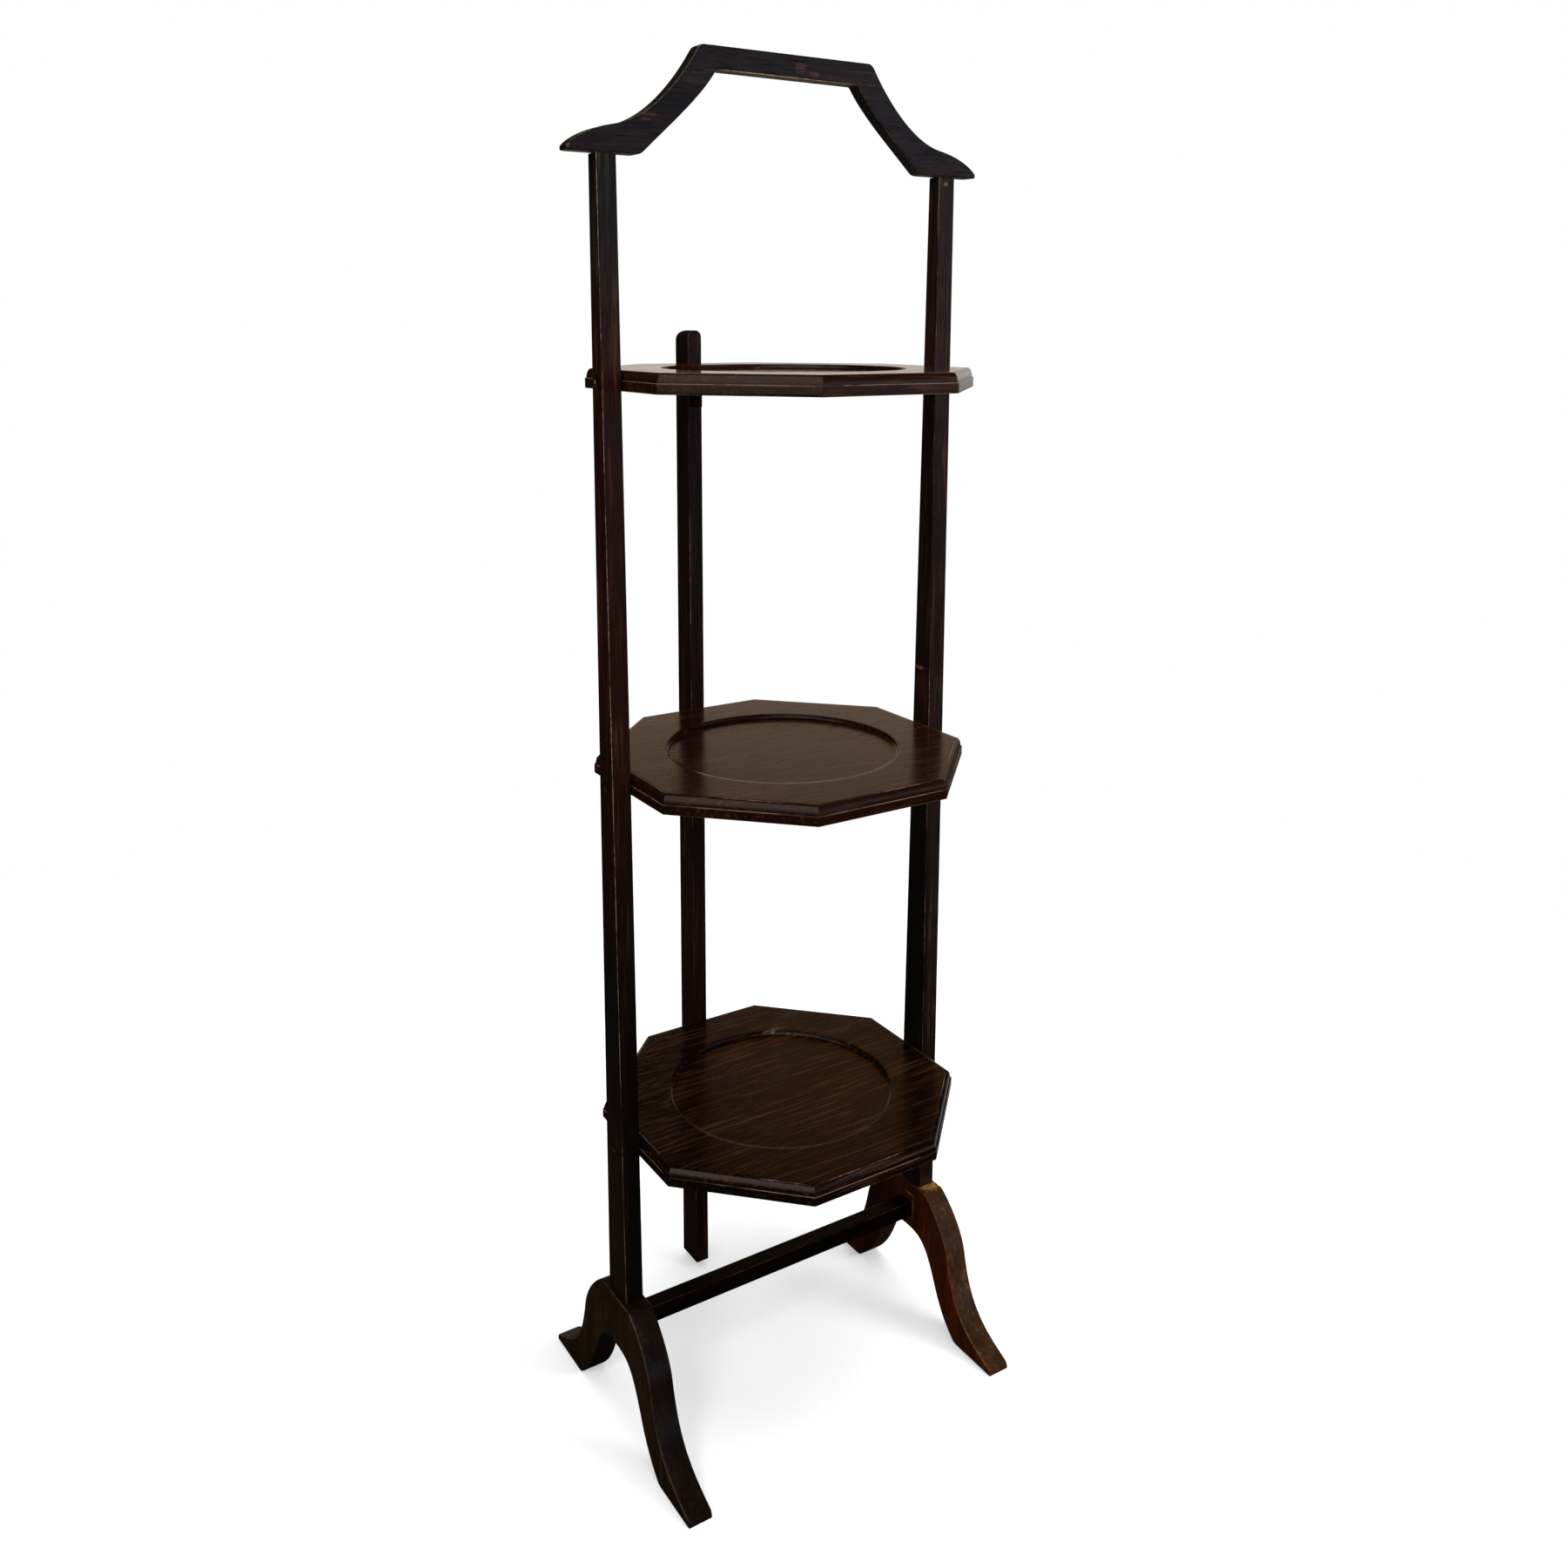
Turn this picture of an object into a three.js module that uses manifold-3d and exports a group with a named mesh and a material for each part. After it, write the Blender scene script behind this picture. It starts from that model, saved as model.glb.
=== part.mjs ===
// Folding cake stand: two tapered posts on arched feet carry three octagonal shelves.
// Each shelf turns on two pivot screws through the posts. A strut behind is hinged to the
// rear edge of every shelf, so lifting it folds all three shelves flat between the posts.
// Millimetres, +Z up, X from post to post, the front towards -Y. The floor is z = 0.

import * as THREE from 'three';
import { mergeVertices } from 'three/addons/utils/BufferGeometryUtils.js';
import Module from 'manifold-3d';

const wasm = await Module();
wasm.setup();

// Shelves
const shelfWidth = 228; // across the flats of the octagon
const shelfThickness = 12;
const edgeBandHeight = 6.3; // upright band below the moulded edge
const edgeLedge = 1; // step between the band and the rounding above it
const edgeRoundWidth = 3;
const recessDiameter = 154; // seat for a tea plate
const recessDepth = 3;
const recessWallSlope = 1.5; // how far the wall leans in between its top and its floor

// Room for the fold
const shelfSideGap = 1.5; // between a shelf's side edge and the post beside it
const shelfFoldGap = 18; // between neighbouring shelves, edge to edge, when folded
const stretcherFoldGap = 9; // between the folded lower shelf and the stretcher
const handleFoldGap = 12.5; // between the folded top shelf and the underside of the handle

// Posts
const postWidth = 12.5; // along X
const postFootDepth = 25; // along Y, where the post stands on its foot
const arris = 0.8; // chamfer on the long edges of posts, strut and stretcher

// Feet
const footThickness = 17;
const footHeight = 100;
const footLength = 202;
const footCrownLength = 40; // flat top that the post stands on
const toeHeight = 4.5;
const toeNose = 2; // how far the nose leans out over the toe's height
const archSpan = 120;
const archHeight = 63.5;
const footCornerReach = 2; // how far from a corner its rounding starts

// Stretcher
const stretcherHeight = 12;
const stretcherDepth = 11.5;
const stretcherDrop = 15; // from the top of the foot down to the top of the stretcher

// Handle
const handleWidth = 291;
const handleThickness = 10.5;
const handleRise = 63.5; // from the post tops to the top of the bar
const barLength = 122;
const barThickness = 13.5;
const gripLength = 100; // underside of the bar, corner to corner
const padInset = 45.5; // from a tip of the handle in to the end of its pad
const tipHeight = 3; // blunt end of the tip
const handleCornerReach = 3;

// Strut behind the shelves
const strutWidth = 10.6;
const strutFootDepth = 22;
const strutHeadDepth = 18;
const strutStopGap = 0.4; // between the shelves' rear edges and the strut
const strutFloorGap = 5;
const strutHeadRoom = 22; // from the top shelf's face up to the strut's top
const strutHeadRound = 8; // rounding of the top towards the back
const strutCornerReach = 4.5; // rounding of the top towards the sides

// Glued joints
const tenonThickness = 6;
const tenonShoulder = 4; // post left in front of and behind its lower tenon
const headTenonShoulder = 2.5; // the same for the tenon in the handle
const footTenonLength = 20;
const headTenonLength = 8;
const stretcherTenonLength = 4.5;
const stretcherTenonShoulder = 2.5;
const glueGap = 0.3; // glue line round every tenon and under every shoulder

// Pivot screws
const pivotHeadDiameter = 7;
const pivotShankDiameter = 3.6;
const pivotHeadDepth = 2.2;
const pivotReach = 18; // length held in the shelf
const pivotSink = 0.4; // how far the head lies below the post's face
const pivotSlotWidth = 0.9;
const pivotSlotDepth = 0.9;
const screwPointLength = 3;
const turningGap = 0.3; // round everything that turns in a hole

// Hinges between the shelves and the strut
const knuckleLength = 3;
const knuckleCount = 3;
const knuckleGap = 0.3;
const knuckleRadius = 2;
const hingePinRadius = 0.9;
const leafLength = 16;
const leafThickness = 1;
const leafSeatGap = 0.3; // between a leaf and the wood that it is screwed to
const leafScrewPlaceShares = [0.42, 0.8]; // along the leaf, from the hinge pin
const leafScrewHeadDiameter = 3.4;
const leafScrewShankDiameter = 1.8;
const leafScrewHeadDepth = 0.8;
const leafScrewLength = 8;
const leafScrewSlotWidth = 0.5;
const leafScrewSlotDepth = 0.35;

// Facets round the circle, and steps along a curve
const roundFacets = 16;
const smallRoundFacets = 12;
const recessFacets = 72;
const ovoloSteps = 5;
const curveSteps = 10;
const cornerSteps = 3;
const octagonSides = 8;
const cutOverrun = 2; // how far a cutter stands out of what it cuts
const weldDistance = 0.0001;

// Heights and places that follow
const stretcherTop = footHeight - stretcherDrop;
const postHeadDepth = handleThickness; // along Y, flush with the pad above
const shelfPitch = shelfWidth + shelfFoldGap;
const lowerPivotHeight = stretcherTop + stretcherFoldGap + shelfWidth / 2;
const pivotHeights = {
  lower: lowerPivotHeight,
  middle: lowerPivotHeight + shelfPitch,
  top: lowerPivotHeight + 2 * shelfPitch,
};
const postHeadHeight = pivotHeights.top + shelfWidth / 2 + handleFoldGap;
const postInnerFace = shelfWidth / 2 + shelfSideGap;
const postOuterFace = postInnerFace + postWidth;
const postCentre = postInnerFace + postWidth / 2;
const strutFrontFace = shelfWidth / 2 + strutStopGap;
const strutHeadHeight = pivotHeights.top + shelfThickness / 2 + strutHeadRoom;
const hingeWidth = knuckleCount * knuckleLength + (knuckleCount - 1) * knuckleGap;
const pinSetback = knuckleRadius + leafSeatGap; // hinge pin's distance from both woods
const hingePinPlace = strutFrontFace - pinSetback;

// Colours of dark-stained oak and of old steel and brass
const stainedOak = { color: 0x2f1e16, roughness: 0.38, metalness: 0 };
const agedSteel = { color: 0x6b655c, roughness: 0.45, metalness: 1 };
const agedBrass = { color: 0x8a6a34, roughness: 0.42, metalness: 1 };

// Turns that carry a drawn outline into place
const sideways = new THREE.Matrix4().makeBasis(
  new THREE.Vector3(0, 1, 0), new THREE.Vector3(0, 0, 1), new THREE.Vector3(1, 0, 0),
); // outline in Y and Z, thickness along X
const frontways = new THREE.Matrix4().makeBasis(
  new THREE.Vector3(1, 0, 0), new THREE.Vector3(0, 0, 1), new THREE.Vector3(0, -1, 0),
); // outline in X and Z, thickness along Y

// A solid from a closed geometry, its shared corners merged and its slivers dropped.
function solid(geometry) {
  const bare = geometry.clone();
  bare.deleteAttribute('normal');
  bare.deleteAttribute('uv');
  const merged = mergeVertices(bare, weldDistance);
  const corners = merged.index.array;
  const kept = [];
  for (let i = 0; i < corners.length; i += 3) {
    const [a, b, c] = [corners[i], corners[i + 1], corners[i + 2]];
    if (a !== b && b !== c && c !== a) kept.push(a, b, c);
  }
  return new wasm.Manifold(new wasm.Mesh({
    numProp: 3,
    vertProperties: new Float32Array(merged.attributes.position.array),
    triVerts: new Uint32Array(kept),
  }));
}

function geometryOf(body) {
  const { vertProperties, triVerts } = body.getMesh();
  const indexed = new THREE.BufferGeometry();
  indexed.setAttribute('position', new THREE.BufferAttribute(vertProperties, 3));
  indexed.setIndex(new THREE.BufferAttribute(triVerts, 1));
  const geometry = indexed.toNonIndexed();
  geometry.computeVertexNormals();
  return geometry;
}

function piece(name, body, finish) {
  const mesh = new THREE.Mesh(geometryOf(body), new THREE.MeshStandardMaterial(finish));
  mesh.name = name;
  return mesh;
}

function box(width, depth, height, x, y, z) {
  return solid(new THREE.BoxGeometry(width, depth, height).translate(x, y, z));
}

// Replaces each sharp corner of a closed outline by a short curve.
function softened(points, cornerReach) {
  const soft = [];
  const sharpTurn = Math.PI / 7;
  points.forEach((corner, i) => {
    const before = points[(i + points.length - 1) % points.length].clone().sub(corner);
    const after = points[(i + 1) % points.length].clone().sub(corner);
    if (Math.PI - before.angleTo(after) < sharpTurn) {
      soft.push(corner);
      return;
    }
    const reach = Math.min(cornerReach, before.length() / 2, after.length() / 2);
    const start = corner.clone().add(before.setLength(reach));
    const end = corner.clone().add(after.setLength(reach));
    soft.push(...new THREE.QuadraticBezierCurve(start, corner, end).getPoints(cornerSteps));
  });
  return soft;
}

// A board cut to an outline, with chamfered edges, centred on its thickness.
function board(points, thickness, turn) {
  const outline = new THREE.Shape(points);
  const geometry = new THREE.ExtrudeGeometry(outline, {
    depth: thickness - 2 * arris,
    steps: 1,
    bevelThickness: arris,
    bevelSize: arris,
    bevelOffset: -arris,
    bevelSegments: 1,
  });
  geometry.translate(0, 0, arris - thickness / 2);
  return solid(geometry.applyMatrix4(turn));
}

// A stick with chamfered long edges along Z, from z = 0, centred on X and Y.
function stick(width, depth, length) {
  const [x, y] = [width / 2, depth / 2];
  const section = new THREE.Shape([
    new THREE.Vector2(x - arris, -y), new THREE.Vector2(x, arris - y),
    new THREE.Vector2(x, y - arris), new THREE.Vector2(x - arris, y),
    new THREE.Vector2(arris - x, y), new THREE.Vector2(-x, y - arris),
    new THREE.Vector2(-x, arris - y), new THREE.Vector2(arris - x, -y),
  ]);
  return new THREE.ExtrudeGeometry(section, { depth: length, steps: 1, bevelEnabled: false });
}

// Turned pieces: a profile of [radius, height] pairs round the Z axis.
function turned(profile, facets) {
  const points = profile.map(([radius, height]) => new THREE.Vector2(radius, height));
  return new THREE.LatheGeometry(points, facets).rotateX(Math.PI / 2);
}

// A countersunk screw with its head's face at z = 0 and its point downwards.
// Grown by a gap, the same shape cuts the hole that the screw lies in.
function screwBody(headDiameter, shankDiameter, headDepth, length, facets, gap) {
  const head = headDiameter / 2 + gap;
  const shank = shankDiameter / 2 + gap;
  const point = shank / 3;
  const face = gap > 0 ? cutOverrun : 0;
  return solid(turned([
    [0, -length - gap],
    [point, -length - gap],
    [shank, -length + screwPointLength * (shankDiameter / pivotShankDiameter) - gap],
    [shank, -headDepth],
    [head, 0],
    [head, face],
    [0, face],
  ], facets));
}

function pivotScrew(gap) {
  const length = pivotReach + shelfSideGap + postWidth - pivotSink;
  const facets = roundFacets;
  let body = screwBody(pivotHeadDiameter, pivotShankDiameter, pivotHeadDepth, length, facets, gap);
  if (gap === 0) {
    const slot = box(pivotHeadDiameter + cutOverrun, pivotSlotWidth, 2 * pivotSlotDepth, 0, 0, 0);
    body = body.subtract(slot);
  }
  return body;
}

function leafScrew(gap) {
  const facets = smallRoundFacets;
  let body = screwBody(
    leafScrewHeadDiameter, leafScrewShankDiameter, leafScrewHeadDepth, leafScrewLength, facets, gap,
  );
  if (gap === 0) {
    const slotLength = leafScrewHeadDiameter + cutOverrun;
    body = body.subtract(box(slotLength, leafScrewSlotWidth, 2 * leafScrewSlotDepth, 0, 0, 0));
  }
  return body;
}

// The pivot screw of one side, lying along X with its head in the post: side is -1 or 1.
function placedPivot(side, height, gap) {
  const turn = new THREE.Matrix4().makeRotationY(side * Math.PI / 2);
  turn.setPosition(side * (postOuterFace - pivotSink), 0, height);
  return pivotScrew(gap).transform(turn.elements);
}

// Posts: tapered front and back towards the handle, with a tenon at each end.
function post(side) {
  const length = postHeadHeight - footHeight - 2 * glueGap;
  const shaft = stick(postWidth, postFootDepth, length);
  const places = shaft.attributes.position;
  for (let i = 0; i < places.count; i += 1) {
    const rise = places.getZ(i) / length;
    const depth = THREE.MathUtils.lerp(postFootDepth, postHeadDepth, rise);
    places.setY(i, places.getY(i) * depth / postFootDepth);
  }
  shaft.translate(side * postCentre, 0, footHeight + glueGap);
  const footTenon = box(
    tenonThickness, postFootDepth - 2 * tenonShoulder, footTenonLength + cutOverrun,
    side * postCentre, 0, footHeight + glueGap + (cutOverrun - footTenonLength) / 2,
  );
  const headTenon = box(
    tenonThickness, postHeadDepth - 2 * headTenonShoulder, headTenonLength + cutOverrun,
    side * postCentre, 0, postHeadHeight - glueGap + (headTenonLength - cutOverrun) / 2,
  );
  let body = solid(shaft).add(footTenon).add(headTenon);
  for (const height of Object.values(pivotHeights)) {
    body = body.subtract(placedPivot(side, height, turningGap));
  }
  return body;
}

// Feet: a crown with an ogee sweep down to each toe, over an arch.
// Points of the sweeps are shares of half the foot's length and of its height.
const shoulderShares = [[0.216, 1], [0.441, 0.837], [0.486, 0.628]];
const toeSweepShares = [[0.569, 0.246], [0.704, 0.16]];
// Points of the arch are shares of half its span and of its height.
const archCrownShares = [[0.317, 1], [0.402, 0.926], [0.603, 0.494]];
const archFlareShares = [0.751, 0.176];

function footOutline() {
  const half = footLength / 2;
  const onSweep = ([along, up]) => [along * half, up * footHeight];
  const onArch = ([along, up]) => [along * archSpan / 2, up * archHeight];
  const rim = new THREE.Path().moveTo(footCrownLength / 2, footHeight);
  rim.bezierCurveTo(...shoulderShares.flatMap(onSweep));
  rim.bezierCurveTo(...toeSweepShares.flatMap(onSweep), half - toeNose, toeHeight);
  rim.lineTo(half, 0);
  const arch = new THREE.Path().moveTo(0, archHeight);
  arch.bezierCurveTo(...archCrownShares.flatMap(onArch));
  arch.quadraticCurveTo(...onArch(archFlareShares), archSpan / 2, 0);
  const front = [...rim.getPoints(curveSteps), ...arch.getPoints(curveSteps).reverse()];
  const back = front.slice(0, -1).reverse().map((place) => new THREE.Vector2(-place.x, place.y));
  return softened([...front, ...back], footCornerReach);
}

function foot(side) {
  const blank = board(footOutline(), footThickness, sideways);
  const postMortise = box(
    tenonThickness + 2 * glueGap, postFootDepth - 2 * tenonShoulder + 2 * glueGap,
    footTenonLength + cutOverrun,
    0, 0, footHeight + (cutOverrun - footTenonLength) / 2,
  );
  const stretcherMortise = box(
    stretcherTenonLength + cutOverrun, stretcherDepth - 2 * stretcherTenonShoulder + 2 * glueGap,
    stretcherHeight - 2 * stretcherTenonShoulder + 2 * glueGap,
    side * (stretcherTenonLength - cutOverrun - footThickness) / 2, 0,
    stretcherTop - stretcherHeight / 2,
  );
  return blank.subtract(postMortise).subtract(stretcherMortise).translate(side * postCentre, 0, 0);
}

// Stretcher: a square stick between the feet, with a stub tenon in each.
function stretcher() {
  const length = 2 * (postCentre - footThickness / 2 - glueGap);
  const bar = stick(stretcherHeight, stretcherDepth, length);
  bar.translate(0, 0, -length / 2).rotateY(Math.PI / 2);
  const tenons = box(
    length + 2 * stretcherTenonLength, stretcherDepth - 2 * stretcherTenonShoulder,
    stretcherHeight - 2 * stretcherTenonShoulder, 0, 0, 0,
  );
  return solid(bar).add(tenons).translate(0, 0, stretcherTop - stretcherHeight / 2);
}

// Handle: a flat bar between two swept shoulders that end in pads on the posts.
// Points of the outer sweep and of the tip are shares of half the width and of the rise.
const outerSweepShares = [[0.485, 0.739], [0.629, 0.331], [0.79, 0.252]];
const tipSweepShares = [[0.902, 0.204], [0.96, 0.128]];
const innerSweepShares = [[0.562, 0.267], [0.411, 0.54]];

function handleOutline() {
  const half = handleWidth / 2;
  const onHandle = ([along, up]) => [along * half, up * handleRise];
  const rim = new THREE.Path().moveTo(barLength / 2, handleRise);
  rim.bezierCurveTo(...outerSweepShares.flatMap(onHandle));
  rim.bezierCurveTo(...tipSweepShares.flatMap(onHandle), half, tipHeight);
  rim.lineTo(half, 0);
  rim.lineTo(half - padInset, 0);
  rim.bezierCurveTo(
    ...innerSweepShares.flatMap(onHandle), gripLength / 2, handleRise - barThickness,
  );
  const right = rim.getPoints(curveSteps);
  const left = right.slice().reverse().map((place) => new THREE.Vector2(-place.x, place.y));
  return softened([...right, ...left], handleCornerReach);
}

function handle() {
  let body = board(handleOutline(), handleThickness, frontways).translate(0, 0, postHeadHeight);
  for (const side of [-1, 1]) {
    body = body.subtract(box(
      tenonThickness + 2 * glueGap, postHeadDepth - 2 * headTenonShoulder + 2 * glueGap,
      headTenonLength + cutOverrun,
      side * postCentre, 0, postHeadHeight + (headTenonLength - cutOverrun) / 2,
    ));
  }
  return body;
}

// Shelves: an octagon with a moulded top edge and a round seat sunk into its face.
function shelf(height) {
  const toCorner = 1 / Math.cos(Math.PI / octagonSides);
  const roundHeight = shelfThickness - edgeBandHeight;
  const ring = (inset, level) => [(shelfWidth / 2 - inset) * toCorner, level];
  const profile = [[0, 0], ring(0, 0), ring(0, edgeBandHeight), ring(edgeLedge, edgeBandHeight)];
  for (let i = 1; i <= ovoloSteps; i += 1) {
    const swing = (Math.PI / 2) * (i / ovoloSteps);
    const inset = edgeLedge + edgeRoundWidth * (1 - Math.cos(swing));
    profile.push(ring(inset, edgeBandHeight + roundHeight * Math.sin(swing)));
  }
  profile.push([0, shelfThickness]);
  const blank = turned(profile, octagonSides).rotateZ(Math.PI / octagonSides);
  const floor = shelfThickness - recessDepth;
  const recess = turned([
    [0, floor],
    [recessDiameter / 2 - recessWallSlope, floor],
    [recessDiameter / 2, shelfThickness],
    [recessDiameter / 2, shelfThickness + cutOverrun],
    [0, shelfThickness + cutOverrun],
  ], recessFacets);
  let body = solid(blank).subtract(solid(recess)).translate(0, 0, height - shelfThickness / 2);
  for (const side of [-1, 1]) body = body.subtract(placedPivot(side, height, turningGap));
  return cutByEach(body, shelfLeafScrews(height, turningGap));
}

// Strut: its front face is upright against the shelves, its back tapers towards the top.
function strut() {
  const backOfHead = strutFrontFace + strutHeadDepth;
  const side = new THREE.Path().moveTo(strutFrontFace, strutFloorGap);
  side.lineTo(strutFrontFace + strutFootDepth, strutFloorGap);
  side.lineTo(backOfHead, strutHeadHeight - strutHeadRound);
  side.quadraticCurveTo(
    backOfHead, strutHeadHeight, backOfHead - strutHeadRound, strutHeadHeight,
  );
  side.lineTo(strutFrontFace, strutHeadHeight);
  const bottom = strutFloorGap - strutCornerReach - cutOverrun;
  const front = softened([
    new THREE.Vector2(-strutWidth / 2, bottom), new THREE.Vector2(strutWidth / 2, bottom),
    new THREE.Vector2(strutWidth / 2, strutHeadHeight),
    new THREE.Vector2(-strutWidth / 2, strutHeadHeight),
  ], strutCornerReach);
  const headShape = board(front, 2 * (strutFootDepth + cutOverrun), frontways);
  let body = board(side.getPoints(cornerSteps), strutWidth, sideways);
  body = body.intersect(headShape.translate(0, strutFrontFace + strutFootDepth / 2, 0));
  for (const height of Object.values(pivotHeights)) {
    body = cutByEach(body, strutLeafScrews(height, turningGap));
  }
  return body;
}

// Hinges. A leaf is made lying under the shelf, its pin on the X axis; half a turn about
// the slanting line between Y and Z lays the same leaf on the front of the strut.
const ontoStrut = new THREE.Matrix4().makeRotationAxis(new THREE.Vector3(0, 1, 1).normalize(), Math.PI);

function pinHeight(height) {
  return height - shelfThickness / 2 - pinSetback;
}

function alongX(geometry) {
  return geometry.rotateY(Math.PI / 2);
}

function knuckle(index) {
  const start = (index - knuckleCount / 2) * (knuckleLength + knuckleGap) + knuckleGap / 2;
  const barrel = alongX(turned([
    [0, start], [knuckleRadius, start],
    [knuckleRadius, start + knuckleLength], [0, start + knuckleLength],
  ], roundFacets));
  const webLength = knuckleRadius + knuckleGap + leafThickness;
  const web = box(
    knuckleLength, webLength, leafThickness,
    start + knuckleLength / 2, -webLength / 2, knuckleRadius - leafThickness / 2,
  );
  return solid(barrel).add(web);
}

function leaf(knuckles) {
  const start = knuckleRadius + knuckleGap;
  const plateLength = leafLength - start;
  let body = box(
    hingeWidth, plateLength, leafThickness,
    0, -start - plateLength / 2, knuckleRadius - leafThickness / 2,
  );
  for (const index of knuckles) body = body.add(knuckle(index));
  const bore = hingePinRadius + turningGap;
  const reach = hingeWidth / 2 + cutOverrun;
  body = body.subtract(solid(alongX(turned([
    [0, -reach], [bore, -reach], [bore, reach], [0, reach],
  ], roundFacets))));
  return cutByEach(body, leafScrewRow(turningGap));
}

// The screws of a leaf under a shelf: heads down, points up into the wood.
function leafScrewRow(gap) {
  const headDown = new THREE.Matrix4().makeRotationX(Math.PI);
  return leafScrewPlaceShares.map((share) => {
    const place = headDown.clone();
    place.setPosition(0, -share * leafLength, knuckleRadius - leafThickness);
    return leafScrew(gap).transform(place.elements);
  });
}

function cutByEach(body, cutters) {
  return cutters.reduce((rest, cutter) => rest.subtract(cutter), body);
}

function underShelf(body, height) {
  return body.translate(0, hingePinPlace, pinHeight(height));
}

function onStrut(body, height) {
  return underShelf(body.transform(ontoStrut.elements), height);
}

function shelfLeafScrews(height, gap) {
  return leafScrewRow(gap).map((screw) => underShelf(screw, height));
}

function strutLeafScrews(height, gap) {
  return leafScrewRow(gap).map((screw) => onStrut(screw, height));
}

function hingePin(height) {
  const half = hingeWidth / 2;
  const pin = alongX(turned([
    [0, -half], [hingePinRadius, -half], [hingePinRadius, half], [0, half],
  ], smallRoundFacets));
  return underShelf(solid(pin), height);
}

// The whole stand. The posts stand in the plane y = 0 of the group, and the group is set
// forward so that the middle of the stand's depth comes to y = 0.
const stand = new THREE.Group();
stand.position.y = (shelfWidth / 2 - strutFrontFace - strutFootDepth) / 2;

for (const [name, side] of [['left', -1], ['right', 1]]) {
  stand.add(piece(`${name}_post`, post(side), stainedOak));
  stand.add(piece(`${name}_foot`, foot(side), stainedOak));
}
stand.add(piece('stretcher', stretcher(), stainedOak));
stand.add(piece('handle', handle(), stainedOak));
stand.add(piece('rear_strut', strut(), stainedOak));

const shelfKnuckles = [1];
const strutKnuckles = [0, 2];
for (const [level, height] of Object.entries(pivotHeights)) {
  stand.add(piece(`${level}_shelf`, shelf(height), stainedOak));
  stand.add(piece(`${level}_left_pivot_screw`, placedPivot(-1, height, 0), agedSteel));
  stand.add(piece(`${level}_right_pivot_screw`, placedPivot(1, height, 0), agedSteel));
  stand.add(piece(`${level}_hinge_shelf_leaf`, underShelf(leaf(shelfKnuckles), height), agedBrass));
  stand.add(piece(`${level}_hinge_strut_leaf`, onStrut(leaf(strutKnuckles), height), agedBrass));
  stand.add(piece(`${level}_hinge_pin`, hingePin(height), agedSteel));
  const [rear, front] = shelfLeafScrews(height, 0);
  stand.add(piece(`${level}_hinge_shelf_screw_rear`, rear, agedSteel));
  stand.add(piece(`${level}_hinge_shelf_screw_front`, front, agedSteel));
  const [upper, lower] = strutLeafScrews(height, 0);
  stand.add(piece(`${level}_hinge_strut_screw_upper`, upper, agedSteel));
  stand.add(piece(`${level}_hinge_strut_screw_lower`, lower, agedSteel));
}

export default stand;
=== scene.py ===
"""Folding cake stand in dark-stained oak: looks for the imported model.

Metres, +Z up. The posts stand in the plane y = POST_PLANE, the front is towards -Y.
"""

import math

import bmesh
import bpy
import numpy as np
from mathutils import Matrix, Vector


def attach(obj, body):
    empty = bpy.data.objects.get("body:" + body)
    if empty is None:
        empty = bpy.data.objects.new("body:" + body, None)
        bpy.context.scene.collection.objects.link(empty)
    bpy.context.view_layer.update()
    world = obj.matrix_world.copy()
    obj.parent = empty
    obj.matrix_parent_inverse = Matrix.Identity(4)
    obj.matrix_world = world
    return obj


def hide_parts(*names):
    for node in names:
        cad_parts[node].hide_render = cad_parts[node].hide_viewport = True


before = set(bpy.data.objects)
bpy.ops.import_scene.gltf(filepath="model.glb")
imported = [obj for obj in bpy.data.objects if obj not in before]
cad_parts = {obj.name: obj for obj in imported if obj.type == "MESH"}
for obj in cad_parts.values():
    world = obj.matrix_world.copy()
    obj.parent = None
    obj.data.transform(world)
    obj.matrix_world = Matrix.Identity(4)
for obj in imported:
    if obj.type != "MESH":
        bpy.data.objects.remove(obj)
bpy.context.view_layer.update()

MM = 0.001

# Shelves
SHELF_WIDTH = 228 * MM
SHELF_THICKNESS = 12 * MM
BAND_HEIGHT = 6.3 * MM  # upright band below the moulding
LEDGE = 0.9 * MM  # step between the band and the moulding
MOULDING_WIDTH = 3.1 * MM
SEAT_RADIUS = 77 * MM
SEAT_DEPTH = 3 * MM
SEAT_COVE = 1.9 * MM  # hollow at the foot of the seat's wall
SEAT_BEAD = 0.5 * MM  # rounding of the seat's rim
SHELF_CORNER = 0.7 * MM
LEAST_CORNER = 0.15 * MM  # where the octagon has shrunk by more than its corners' radius
SHELF_ARRIS = 0.5 * MM
BAND_ARRIS = 0.3 * MM
LEDGE_FALL = 0.1 * MM  # how far the ledge slopes down towards the moulding
FILLET = 0.35 * MM  # small upright face between the ledge and the moulding
PIVOT_HEIGHTS = {"lower": 208 * MM, "middle": 454 * MM, "top": 700 * MM}

# Posts
POST_INNER_FACE = 115.5 * MM
POST_WIDTH = 12.5 * MM
POST_FOOT_DEPTH = 25 * MM
POST_HEAD_DEPTH = 10.5 * MM
POST_FOOT_HEIGHT = 100 * MM
POST_HEAD_HEIGHT = 826.5 * MM
GLUE_GAP = 0.3 * MM
STICK_ARRIS = 0.55 * MM  # rounding of long edges
END_EASE = 0.35 * MM  # how far back the ends of sticks are eased
POST_CENTRE = POST_INNER_FACE + POST_WIDTH / 2
POST_OUTER_FACE = POST_INNER_FACE + POST_WIDTH

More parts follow.
